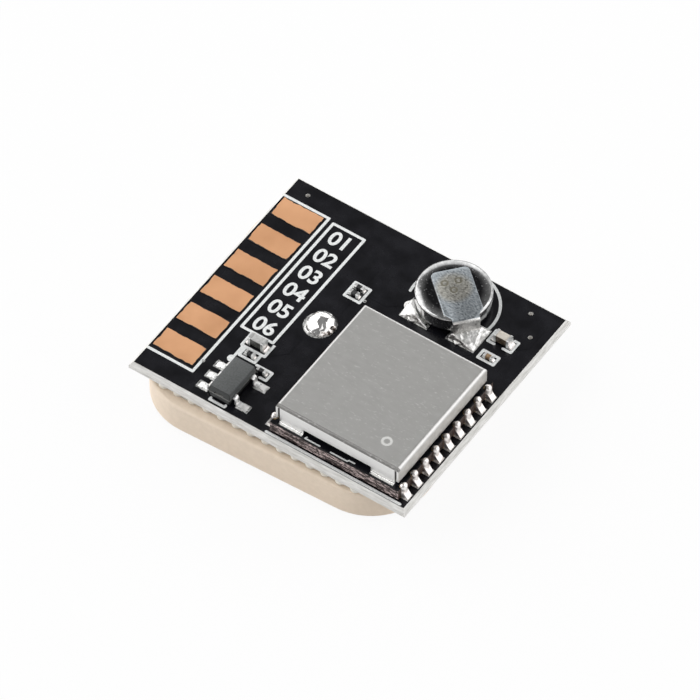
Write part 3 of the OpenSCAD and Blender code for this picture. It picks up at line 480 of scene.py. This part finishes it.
# Painted shade on the folds, darkest on the front fold.
shaded_fold = blend(tree, cloud, (0.60, 0.595, 0.585, 1), (0.65, 0.645, 0.635, 1))
dark_shaded_front_fold = blend(tree, cloud, (0.20, 0.195, 0.19, 1), (0.27, 0.265, 0.255, 1))
folds = blend(tree, at_front, shaded_fold, dark_shaded_front_fold)
# Painted shade: the flat top is coloured greyer than the walls.
shaded_flat_top = blend(tree, cloud, (0.48, 0.475, 0.46, 1), (0.52, 0.515, 0.50, 1))
bent_sheet = blend(tree, fold, walls, folds)
sheet = blend(tree, lid, bent_sheet, shaded_flat_top)
worn = blend(tree, specks, sheet, (0.68, 0.675, 0.66, 1))
print_mask = ring(tree, MARK_RING, MARK_RADIUS, MARK_HALF)
tree.links.new(blend(tree, print_mask, worn, (0.62, 0.62, 0.60, 1)), shader.inputs["Base Color"])
unprinted = calc(tree, "SUBTRACT", 1.0, print_mask)
tree.links.new(unprinted, shader.inputs["Metallic"])
tree.links.new(between(tree, cloud, *SHEET_ROUGH), shader.inputs["Roughness"])
tree.links.new(bump(tree, grain(tree, 5000), 0.15), shader.inputs["Normal"])
finishes["can_sheet"] = material
print("can finish:", material.name)

# %% [markdown]
# ## The cell and its tab
# The top of the cell is the flat end of its can: polished steel with pale specks, its colour painted dark
# as a painted dark reflection, falling away a little towards the edge, so that the edge mirrors the room
# beyond. That fall is too small to model, so a bump does it: its height is taken from the distance to the
# cell's axis. The upper tab is rolled strip, mottled grey and blue, with three spot welds near the cell's
# centre that left olive rings.

# %% Cell finishes
WELDS = ((13.02, 14.88), (13.59, 15.55), (13.78, 14.77))
WELD_RADIUS = 0.19 * MM
WELD_HALF = 0.08 * MM
WELD_DEPTH = 16e-6
BURN = 0.6
BEND_DROP = 0.05 * MM
CELL = (13.7, 14.9)
TINT_REACH = 1.3 * MM
DISC_EDGE = 2.40 * MM
CROWN_START = 1.7 * MM
CROWN_RADIUS = 2.1 * MM
TOP_SKIN = 10 * SKIN

material, tree, shader = open_material("can_steel")
place = add_node(tree, "ShaderNodeTexCoord")
from_axis = vector_calc(tree, "SUBTRACT", place.outputs["Object"], spot(*CELL))
reach = vector_calc(tree, "LENGTH", vector_calc(tree, "MULTIPLY", from_axis, LEVEL))
axes = position(tree)
level = calc(tree, "GREATER_THAN", axes["Z"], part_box("cell_can")[1].z - TOP_SKIN)
inside = add_node(tree, "ShaderNodeMapRange", {
    "Value": reach, "From Min": DISC_EDGE, "From Max": CROWN_START,
})
disc = calc(tree, "MULTIPLY", inside.outputs["Result"], level)
specks = grain(tree, 7000, 0.60, 0.74)
cloud = grain(tree, 3000)
steel = blend(tree, cloud, (0.42, 0.42, 0.42, 1), (0.62, 0.62, 0.62, 1))
# Painted dark reflection: the polished disc on top is coloured near black.
painted_dark_disc = blend(tree, specks, (0.04, 0.04, 0.043, 1), (0.36, 0.36, 0.36, 1))
tree.links.new(blend(tree, disc, steel, painted_dark_disc), shader.inputs["Base Color"])
tree.links.new(between(tree, specks, 0.16, 0.36), shader.inputs["Roughness"])
past = calc(tree, "SUBTRACT", reach, CROWN_START)
only_past = calc(tree, "MAXIMUM", past, 0.0)
squared = calc(tree, "POWER", only_past, 2.0)
fall = calc(tree, "DIVIDE", squared, -2 * CROWN_RADIUS)
on_top = calc(tree, "MULTIPLY", fall, level)
tree.links.new(bump(tree, on_top, 1.0, 1.0), shader.inputs["Normal"])
shader.inputs["Metallic"].default_value = 1.0
finishes["can_steel"] = material

material, tree, shader = open_material("tab_steel")
mottle = grain(tree, 6000, 0.30, 0.70, 6.0, (1.0, 1.6, 1.0))
cool = blend(tree, mottle, (0.20, 0.225, 0.245, 1), (0.48, 0.515, 0.54, 1))
warm = blend(tree, mottle, (0.25, 0.245, 0.22, 1), (0.48, 0.47, 0.43, 1))
tint = ring(tree, CELL, 0.0, TINT_REACH)
plate = blend(tree, tint, cool, warm)
axes = position(tree)
bent = calc(tree, "LESS_THAN", axes["Z"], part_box("cell_upper_tab")[1].z - BEND_DROP)
leg = blend(tree, mottle, (0.72, 0.71, 0.69, 1), (0.92, 0.91, 0.89, 1))
strip = blend(tree, bent, plate, leg)
welds = [ring(tree, at, WELD_RADIUS, WELD_HALF) for at in WELDS]
joined = welds[0]
for weld in welds[1:]:
    joined = calc(tree, "MAXIMUM", joined, weld)
burnt = calc(tree, "MULTIPLY", joined, BURN)
tree.links.new(blend(tree, burnt, strip, (0.15, 0.135, 0.085, 1)), shader.inputs["Base Color"])
tree.links.new(between(tree, mottle, 0.25, 0.5), shader.inputs["Roughness"])
sunk = calc(tree, "SUBTRACT", mottle, joined)
tree.links.new(bump(tree, sunk, 0.30, WELD_DEPTH), shader.inputs["Normal"])
shader.inputs["Metallic"].default_value = 1.0
finishes["tab_steel"] = material
print("cell finishes:", finishes["can_steel"].name, finishes["tab_steel"].name)

# %% [markdown]
# ## The regulator's moulding
# The regulator is moulded between two halves of a tool, so a thin pale line runs round it where they met,
# at half its height. The draft turns the lower half away from the light, and it is painted darker as
# painted shade. The two ends are painted darker too, as painted shade, and the floor of each end slot
# near black, as the painted shadow under its lip. The material asks where a point lies, as the board's
# did.

# %% Regulator finish
PARTING_HALF = 0.028 * MM
END_DEPTH = 0.105 * MM
SLOT_FLOOR = 0.092 * MM

low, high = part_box("regulator_body")
middle = (low + high) / 2
half_length = (high.y - low.y) / 2
material, tree, shader = open_material("regulator_moulding")
speckle = grain(tree, 11000)
axes = position(tree)
from_line = calc(tree, "SUBTRACT", axes["Z"], middle.z)
lower = calc(tree, "LESS_THAN", from_line, 0.0)
gap = calc(tree, "ABSOLUTE", from_line)
flash = calc(tree, "LESS_THAN", gap, PARTING_HALF)
upper_half = blend(tree, speckle, (0.062, 0.066, 0.066, 1), (0.105, 0.110, 0.110, 1))
# Painted shade: the lower half and the two end faces are darker than the upper half.
shaded_lower_half = blend(tree, speckle, (0.018, 0.019, 0.019, 1), (0.040, 0.042, 0.042, 1))
shaded_end_face = blend(tree, speckle, (0.018, 0.020, 0.020, 1), (0.036, 0.039, 0.038, 1))
along = calc(tree, "SUBTRACT", axes["Y"], middle.y)
far = calc(tree, "ABSOLUTE", along)
at_end = calc(tree, "GREATER_THAN", far, half_length - END_DEPTH)
in_slot = calc(tree, "LESS_THAN", far, half_length - SLOT_FLOOR)
# Painted shadow: the floor of each end slot is near black.
ends = blend(tree, in_slot, shaded_end_face, (0.004, 0.004, 0.004, 1))
upper_faces = blend(tree, at_end, upper_half, ends)
halves = blend(tree, lower, upper_faces, shaded_lower_half)
tree.links.new(blend(tree, flash, halves, (0.22, 0.22, 0.21, 1)), shader.inputs["Base Color"])
tree.links.new(between(tree, speckle, 0.42, 0.60), shader.inputs["Roughness"])
tree.links.new(bump(tree, speckle, 0.3), shader.inputs["Normal"])
finishes["regulator_moulding"] = material
print("regulator finish:", material.name)

# %% [markdown]
# ## The capacitors' ceramic
# A chip capacitor is a stack of fired layers. Its top is a plain pale cover layer, and its sides are
# painted dark with faint streaks, as painted shade. The height of a point tells them apart, and the
# rounded rim counts as top, so that it catches light.

# %% Capacitor finishes
CHIP_RIM = 0.035 * MM
SIDE_STREAKS = (16000, 0.4, 0.6, 3.0, (0.15, 0.15, 1.0))


def chip_finish(name, node, top, shaded_sides):
    material, tree, shader = open_material(name)
    speckle = grain(tree, 7000)
    side_streaks = grain(tree, *SIDE_STREAKS)
    axes = position(tree)
    cover = calc(tree, "GREATER_THAN", axes["Z"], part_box(node)[1].z - CHIP_RIM)
    # Painted shade: the sides get the dark pair, and the top keeps the pale ceramic colour.
    colour = blend(tree, cover, blend(tree, side_streaks, *shaded_sides), blend(tree, speckle, *top))
    tree.links.new(colour, shader.inputs["Base Color"])
    tree.links.new(between(tree, speckle, 0.25, 0.40), shader.inputs["Roughness"])
    tree.links.new(bump(tree, speckle, 0.12), shader.inputs["Normal"])
    return material


# The second colour pair of each finish is the painted shade on the sides.
finishes["grey_ceramic"] = chip_finish(
    "grey_ceramic", "input_capacitor",
    ((0.44, 0.44, 0.43, 1), (0.52, 0.52, 0.51, 1)), ((0.030, 0.031, 0.028, 1), (0.085, 0.087, 0.080, 1)))
finishes["beige_ceramic"] = chip_finish(
    "beige_ceramic", "backup_capacitor",
    ((0.56, 0.51, 0.44, 1), (0.66, 0.61, 0.54, 1)), ((0.040, 0.027, 0.016, 1), (0.11, 0.080, 0.050, 1)))
print("capacitor finishes:", finishes["grey_ceramic"].name, finishes["beige_ceramic"].name)

# %% [markdown]
# ## Dressing the frame
# The imported record says which material slot each node belongs to, so one loop dresses them all. The
# cell's can has a finish of its own, because its top is painted darker than its side, as a painted dark
# reflection.

# %% Dress the nodes
for row in frame["record"]["subparts"]:
    node = frame["nodes"][row["node"]]
    node.data.materials.clear()
    node.data.materials.append(finishes[row["material_slot"]])
frame["nodes"]["cell_can"].data.materials[0] = finishes["can_steel"]

# %% [markdown]
# ## Solder that flowed
# Melted solder has no edges: it draws itself round. Each joint starts as a copy of its solid, is turned
# into an even skin by a voxel remesh, relaxed by a smooth, and pushed about a little by a cloud texture,
# so that its reflections break up. The copy is worked on in millimetres, because the smallest voxel that
# the remesh takes is 0.0001 units, and in metres that is a tenth of a millimetre. It is brought back to
# metres at the end.

# %% Copies of nodes


def select_only(piece):
    bpy.ops.object.select_all(action="DESELECT")
    piece.select_set(True)
    bpy.context.view_layer.objects.active = piece


def copy_in_mm(node, name):
    piece = bpy.data.objects.new(name, frame["nodes"][node].data.copy())
    bpy.context.scene.collection.objects.link(piece)
    select_only(piece)
    piece.scale = (1 / MM, 1 / MM, 1 / MM)
    bpy.ops.object.transform_apply(location=False, rotation=False, scale=True)
    bpy.ops.object.mode_set(mode="EDIT")
    bpy.ops.mesh.select_all(action="SELECT")
    bpy.ops.mesh.remove_doubles(threshold=1e-4)
    bpy.ops.object.mode_set(mode="OBJECT")
    return piece


def apply_modifier(piece, kind, **settings):
    modifier = piece.modifiers.new(kind.lower(), kind)
    for key, value in settings.items():
        setattr(modifier, key, value)
    bpy.ops.object.modifier_apply(modifier=modifier.name)


def back_to_metres(piece):
    piece.scale = (MM, MM, MM)
    bpy.ops.object.transform_apply(location=False, rotation=False, scale=True)


def stand_for(piece, node):
    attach(piece, "root")
    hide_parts(node)


# %% Solder joints
RIPPLE_SIZE = 0.35
SOLDER = (
    ("castellation_solder", "boot_solder", 0.030, 3, 0.07, 0.40),
    ("cell_solder", "satin_solder", 0.030, 30, 0.12, 0.25),
    ("regulator_solder", "satin_solder", 0.016, 4, 0.02, 0.20),
    ("chip_solder", "boot_solder", 0.012, 3, 0.03, 0.20),
)

ripples = bpy.data.textures.new("ripples", "CLOUDS")
ripples.noise_scale = RIPPLE_SIZE
ripples.noise_depth = 2
for node, finish, voxel, passes, push, level in SOLDER:
    piece = copy_in_mm(node, node + "_flow")
    apply_modifier(piece, "REMESH", mode="VOXEL", voxel_size=voxel)
    apply_modifier(piece, "SMOOTH", factor=0.5, iterations=passes)
    apply_modifier(piece, "DISPLACE", texture=ripples, texture_coords="LOCAL",
                   strength=push, mid_level=level)
    bpy.ops.object.shade_smooth()
    back_to_metres(piece)
    piece.data.materials.clear()
    piece.data.materials.append(finishes[finish])
    stand_for(piece, node)
    print(piece.name, "faces:", len(piece.data.polygons))

# %% [markdown]
# ## The dome over the feed pin
# The antenna's pin comes up through the board and ends in a dome of solder, round like a drop, with a
# thin crescent of solder left beside it. The dome is the cap of a ball: a ball is added, a bisect cuts it
# at the land, and a fine cloud pushes it a little out of true. The crescent is a slim torus set to one
# side, so that the dome hides all of it but a short arc.

# %% Feed dome
DOME_BALL = 1.08
DOME_SINK = 0.42
DOME_SHIFT = (0.07, 0.17)
DOME_PUSH = 0.11
DOME_LEVEL = 0.55
DOME_CREASE = math.radians(60)
CRESCENT_R = 0.50
CRESCENT_W = 0.05
CRESCENT_SHIFT = (-0.28, -0.51, 0.05)

low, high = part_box("feed_solder")
foot = Vector(((low.x + high.x) / 2 / MM, (low.y + high.y) / 2 / MM, low.z / MM))
seat = foot + Vector((*DOME_SHIFT, 0))
bpy.ops.object.select_all(action="DESELECT")
bpy.ops.mesh.primitive_uv_sphere_add(
    segments=96, ring_count=64, radius=DOME_BALL, location=seat - Vector((0, 0, DOME_SINK)))
dome = bpy.context.object
dome.name = "feed_solder_dome"
bpy.ops.object.transform_apply(location=True, rotation=False, scale=False)
bpy.ops.object.mode_set(mode="EDIT")
bpy.ops.mesh.select_all(action="SELECT")
bpy.ops.mesh.bisect(plane_co=seat, plane_no=(0, 0, 1), use_fill=True, clear_inner=True)
bpy.ops.object.mode_set(mode="OBJECT")
apply_modifier(dome, "DISPLACE", texture=ripples, texture_coords="LOCAL",
               strength=DOME_PUSH, mid_level=DOME_LEVEL)
bpy.ops.object.select_all(action="DESELECT")
bpy.ops.mesh.primitive_torus_add(
    major_segments=72, minor_segments=16, major_radius=CRESCENT_R, minor_radius=CRESCENT_W,
    location=seat + Vector(CRESCENT_SHIFT))
bpy.ops.object.transform_apply(location=True, rotation=False, scale=False)
dome.select_set(True)
bpy.context.view_layer.objects.active = dome
bpy.ops.object.join()
select_only(dome)
bpy.ops.object.shade_smooth_by_angle(angle=DOME_CREASE)
back_to_metres(dome)
dome.data.materials.clear()
dome.data.materials.append(finishes["solder"])
stand_for(dome, "feed_solder")
print(dome.name, "faces:", len(dome.data.polygons))

# %% [markdown]
# ## Edges that catch the light
# A moulded body, a pressed tab or a bent lead never has a knife edge. Copies of these solids are merged,
# their flat triangles dissolved into whole faces, and their edges bevelled, so that each edge shows a
# thin bright line.

# %% Soft edges
FLAT_ANGLE = math.radians(1)
BEVEL_ANGLE = math.radians(40)
CREASE = math.radians(30)
EDGES = (
    ("regulator_body", 0.05, 3),
    ("regulator_leads", 0.025, 2),
    ("cell_upper_tab", 0.04, 2),
    ("cell_lower_tab", 0.025, 2),
    ("input_capacitor", 0.04, 2),
    ("backup_capacitor", 0.04, 2),
    ("bypass_capacitor", 0.03, 2),
    ("chip_resistors", 0.03, 2),
)

for node, width, segments in EDGES:
    piece = copy_in_mm(node, node + "_soft")
    bpy.ops.object.mode_set(mode="EDIT")
    bpy.ops.mesh.select_all(action="SELECT")
    bpy.ops.mesh.dissolve_limited(angle_limit=FLAT_ANGLE)
    bpy.ops.object.mode_set(mode="OBJECT")
    apply_modifier(piece, "BEVEL", width=width, segments=segments, limit_method="ANGLE",
                   angle_limit=BEVEL_ANGLE, use_clamp_overlap=True)
    bpy.ops.object.shade_smooth_by_angle(angle=CREASE)
    back_to_metres(piece)
    stand_for(piece, node)
    print(piece.name, "faces:", len(piece.data.polygons))

# %% [markdown]
# ## The cut bars in the regulator's ends
# While it was moulded, the regulator hung in its lead frame by a bar at each end. The bars were snapped
# off and left a shallow slot just above the parting line. A small box is bevelled, and a boolean cuts it
# out of the soft body.

# %% End slots
SLOT = Vector((0.66, 0.20, 0.17))
SLOT_RISE = 0.10
SLOT_BEVEL = 0.03

body = bpy.data.objects["regulator_body_soft"]
low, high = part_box("regulator_body")
middle = (low + high) / 2
for end in (low.y, high.y):
    bpy.ops.object.select_all(action="DESELECT")
    bpy.ops.mesh.primitive_cube_add(size=1, location=(middle.x, end, middle.z + SLOT_RISE * MM))
    cutter = bpy.context.object
    cutter.scale = SLOT * MM
    bpy.ops.object.transform_apply(location=True, rotation=False, scale=True)
    apply_modifier(cutter, "BEVEL", width=SLOT_BEVEL * MM, segments=2)
    select_only(body)
    apply_modifier(body, "BOOLEAN", operation="DIFFERENCE", solver="EXACT", object=cutter)
    select_only(cutter)
    bpy.ops.object.delete()
select_only(body)
bpy.ops.object.shade_smooth_by_angle(angle=CREASE)
print("slotted body, faces:", len(body.data.polygons))

# %% [markdown]
# ## White ink
# The board's print is lines drawn with a round-tipped pen of one width: a frame round the pads, a box for
# the pin numbers, and small boxes round the chips. A stroke could be a bevelled curve, but that thins at
# its corners. Here each stroke's outline is worked out, round on the outside of a corner and at a free
# end, sharp on the inside, filled as a flat curve, and given the thickness of ink.

# %% Strokes
PEN = 0.19
INK = 0.016
ARC_STEP = math.radians(15)


def side_of(way):
    return Vector((-way.y, way.x))


def swing(centre, start, end, reach):
    first = math.atan2(start.y, start.x)
    turn = math.atan2(start.cross(end), start.dot(end))
    steps = max(1, round(abs(turn) / ARC_STEP))
    turns = [first + turn * i / steps for i in range(steps + 1)]
    return [centre + Vector((math.cos(a), math.sin(a))) * reach for a in turns]


def outline(points, width, closed=False, round_ends=True):
    points = [Vector(p) for p in points]
    half = width / 2
    nexts = points[1:] + points[:1] if closed else points[1:]
    ways = [(end - start).normalized() for start, end in zip(points, nexts)]
    sides = [side_of(way) for way in ways]
    left = [] if closed else [points[0] + sides[0] * half]
    right_side = [] if closed else [points[0] - sides[0] * half]
    for i in range(0 if closed else 1, len(ways)):
        before, after = sides[i - 1], sides[i]
        mitre = (before + after) / (1 + before.dot(after)) * half
        if ways[i - 1].cross(ways[i]) > 0:
            left.append(points[i] + mitre)
            right_side += swing(points[i], -before, -after, half)
        else:
            left += swing(points[i], before, after, half)
            right_side.append(points[i] - mitre)
    if closed:
        return [left, right_side]
    left.append(points[-1] + sides[-1] * half)
    right_side.append(points[-1] - sides[-1] * half)
    if not round_ends:
        return [left + right_side[::-1]]
    tail = swing(points[-1], sides[-1], ways[-1], half)
    tail += swing(points[-1], ways[-1], -sides[-1], half)[1:]
    head = swing(points[0], -sides[0], -ways[0], half)
    head += swing(points[0], -ways[0], sides[0], half)[1:]
    return [left[:-1] + tail + right_side[-2:0:-1] + head[:-1]]


def arc(centre, radius, start, end, steps=32):
    turns = [math.radians(start + (end - start) * i / steps) for i in range(steps + 1)]
    return [(centre[0] + radius * math.cos(t), centre[1] + radius * math.sin(t)) for t in turns]


def box_line(x0, y0, x1, y1):
    return [(x0, y0), (x1, y0), (x1, y1), (x0, y1)]


def printed(name, loops, rise, thickness, material):
    data = bpy.data.curves.new(name, "CURVE")
    data.dimensions = "2D"
    data.fill_mode = "BOTH"
    data.extrude = thickness / 2
    for loop in loops:
        spline = data.splines.new("POLY")
        spline.points.add(len(loop) - 1)
        spline.use_cyclic_u = True
        for point, (x, y) in zip(spline.points, loop):
            point.co = (x, y, 0, 1)
    piece = bpy.data.objects.new(name, data)
    bpy.context.scene.collection.objects.link(piece)
    select_only(piece)
    bpy.ops.object.convert(target="MESH")
    piece = bpy.context.object
    piece.scale = (MM, MM, MM)
    piece.location = spot(0, 0, rise + thickness / 2)
    bpy.ops.object.transform_apply(location=True, rotation=False, scale=True)
    piece.data.materials.clear()
    piece.data.materials.append(material)
    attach(piece, "root")
    return piece


# %% Board print
ink = grainy("white_ink", (0.66, 0.68, 0.68), (0.88, 0.89, 0.88), 9000, (0.45, 0.65), strength=0.4)
NUMBER_BOX = box_line(3.875, 6.035, 6.225, 16.015)
BOX_FOOT = 6.035 - PEN / 2
CHIP_FOOT = 4.855 - PEN / 2
JOINED_LINES = (
    [(0.0, 16.2), (3.42, 16.2), (3.42, 1.42), (0.0, 1.42)],
    [(4.705, BOX_FOOT), (4.705, 4.855), (6.425, 4.855), (6.425, BOX_FOOT)],
    [(5.035, CHIP_FOOT), (5.035, 4.115), (6.195, 4.115), (6.195, CHIP_FOOT)],
    [(4.84, CHIP_FOOT), (4.84, 3.88)],
)
FREE_LINES = (
    [(6.40, 4.045), (7.565, 4.045), (7.565, 3.355), (7.11, 3.355)],
    [(17.035, 14.70), (17.035, 13.715), (17.50, 13.715)],
    [(18.45, 14.62), (18.735, 14.62), (18.735, 13.715), (18.17, 13.715)],
    [(5.55, 0.36), (5.55, 0.22), (6.65, 0.22), (6.65, 0.36)],
    [(9.85, 0.12), (19.75, 0.12)],
    arc((13.7, 14.9), 2.9, -12, 192),
)
CLOSED_LINES = (
    NUMBER_BOX,
    box_line(7.685, 11.685, 8.815, 12.915),
    box_line(17.245, 12.285, 18.395, 12.955),
)
PIN_DOT = ((4.80, 3.61), 0.27)

loops = []
for line in JOINED_LINES:
    loops += outline(line, PEN, round_ends=False)
for line in FREE_LINES:
    loops += outline(line, PEN)
for line in CLOSED_LINES:
    loops += outline(line, PEN, closed=True)
loops.append(arc(*PIN_DOT, 0, 360, 24)[:-1])
marks = printed("board_print", loops, 0.0, INK, ink)
print(marks.name, "faces:", len(marks.data.polygons))

# %% [markdown]
# ## Pin numbers
# The six pads are numbered beside them. Text is typed as a text object, thickened a little as print
# spreads, made a mesh, and only then put in its place, so that nothing depends on the text object later.

# %% Numbers
PAD_COUNT = 6
INK_SPREAD = 0.035
NUMBER_X = 5.05
NUMBER_TOP = 15.1
NUMBER_STEP = 1.64
NUMBER_SIZE = 1.55
NUMBER_RISE = 0.55

for i in range(PAD_COUNT):
    bpy.ops.object.select_all(action="DESELECT")
    bpy.ops.object.text_add()
    text = bpy.context.object
    text.data.body = f"{i + 1:02d}"
    text.data.size = NUMBER_SIZE
    text.data.offset = INK_SPREAD
    text.data.extrude = INK / 2
    text.data.align_x = "CENTER"
    bpy.ops.object.convert(target="MESH")
    piece = bpy.context.object
    piece.name = f"pin_number_{i + 1}"
    piece.scale = (MM, MM, MM)
    piece.location = spot(NUMBER_X, NUMBER_TOP - i * NUMBER_STEP - NUMBER_RISE, INK / 2)
    bpy.ops.object.transform_apply(location=True, rotation=False, scale=True)
    piece.data.materials.clear()
    piece.data.materials.append(ink)
    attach(piece, "root")
print("numbers:", PAD_COUNT)

# %% [markdown]
# ## Print on the receiver, and copper under the mask
# The receiver's own board shows two short white lines in front of its can. On the carrier, copper tracks
# lift the mask by a hair: they are strokes too, wider and lower, in the mask's own finish.

# %% Receiver print and tracks
RECEIVER_LINES = (
    [(12.56, 0.60), (12.50, 0.47), (13.60, 0.47)],
    [(14.40, 0.46), (15.62, 0.46), (15.70, 0.57), (16.10, 0.57)],
)
TRACKS = (
    [(6.9, 15.9), (8.25, 14.55), (8.25, 13.05)],
    [(8.95, 12.5), (10.3, 12.5), (11.2, 13.2)],
    [(17.05, 12.6), (16.3, 11.85), (16.3, 10.75)],
    [(18.9, 14.2), (19.4, 14.7), (19.4, 16.2), (18.6, 17.0)],
    [(6.75, 5.3), (7.4, 5.95), (7.4, 7.2)],
    [(8.25, 11.55), (8.25, 10.3), (9.3, 9.25)],
    [(3.62, 3.2), (4.1, 2.75)],
)
FINE_PEN = 0.10
TRACK_W = 0.26
TRACK_H = 0.014
TRACK_ROUGH = (0.18, 0.28)

receiver_rise = (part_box("receiver_board")[1].z - corner.z) / MM
loops = [loop for line in RECEIVER_LINES for loop in outline(line, FINE_PEN)]
printed("receiver_print", loops, receiver_rise, INK, ink)
loops = [loop for line in TRACKS for loop in outline(line, TRACK_W)]
track_finish, tree, shader = open_material("mask_over_copper")
cloud = grain(tree, *MASK_CLOUD)
tree.links.new(blend(tree, cloud, *MASK_COLOURS), shader.inputs["Base Color"])
tree.links.new(between(tree, cloud, *TRACK_ROUGH), shader.inputs["Roughness"])
shader.inputs["Specular IOR Level"].default_value = MASK_SHINE
tracks = printed("mask_tracks", loops, 0.0, TRACK_H, track_finish)
print("tracks:", len(TRACKS))

# %% [markdown]
# ## Bare test rings
# Where a small via was left open in the mask, a ring of tin shows round its hole. Two of them lie beside
# the print. Each is a flat curve of two circles, so that the inner one is left out of the fill.

# %% Test rings
RINGS = ((3.50, 2.46), (9.02, 11.98))
RING_OUTER = 0.115
RING_INNER = 0.05
RING_HEIGHT = 1.5 * INK

loops = [arc(at, radius, 0, 360, 20)[:-1] for at in RINGS for radius in (RING_OUTER, RING_INNER)]
test_rings = printed("test_rings", loops, 0.0, RING_HEIGHT, finishes["tinned_copper"])
print(test_rings.name, "faces:", len(test_rings.data.polygons))

# %% Size of the dressed model
low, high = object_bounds()
print("visual size in mm:", [round(v / MM, 2) for v in high - low])
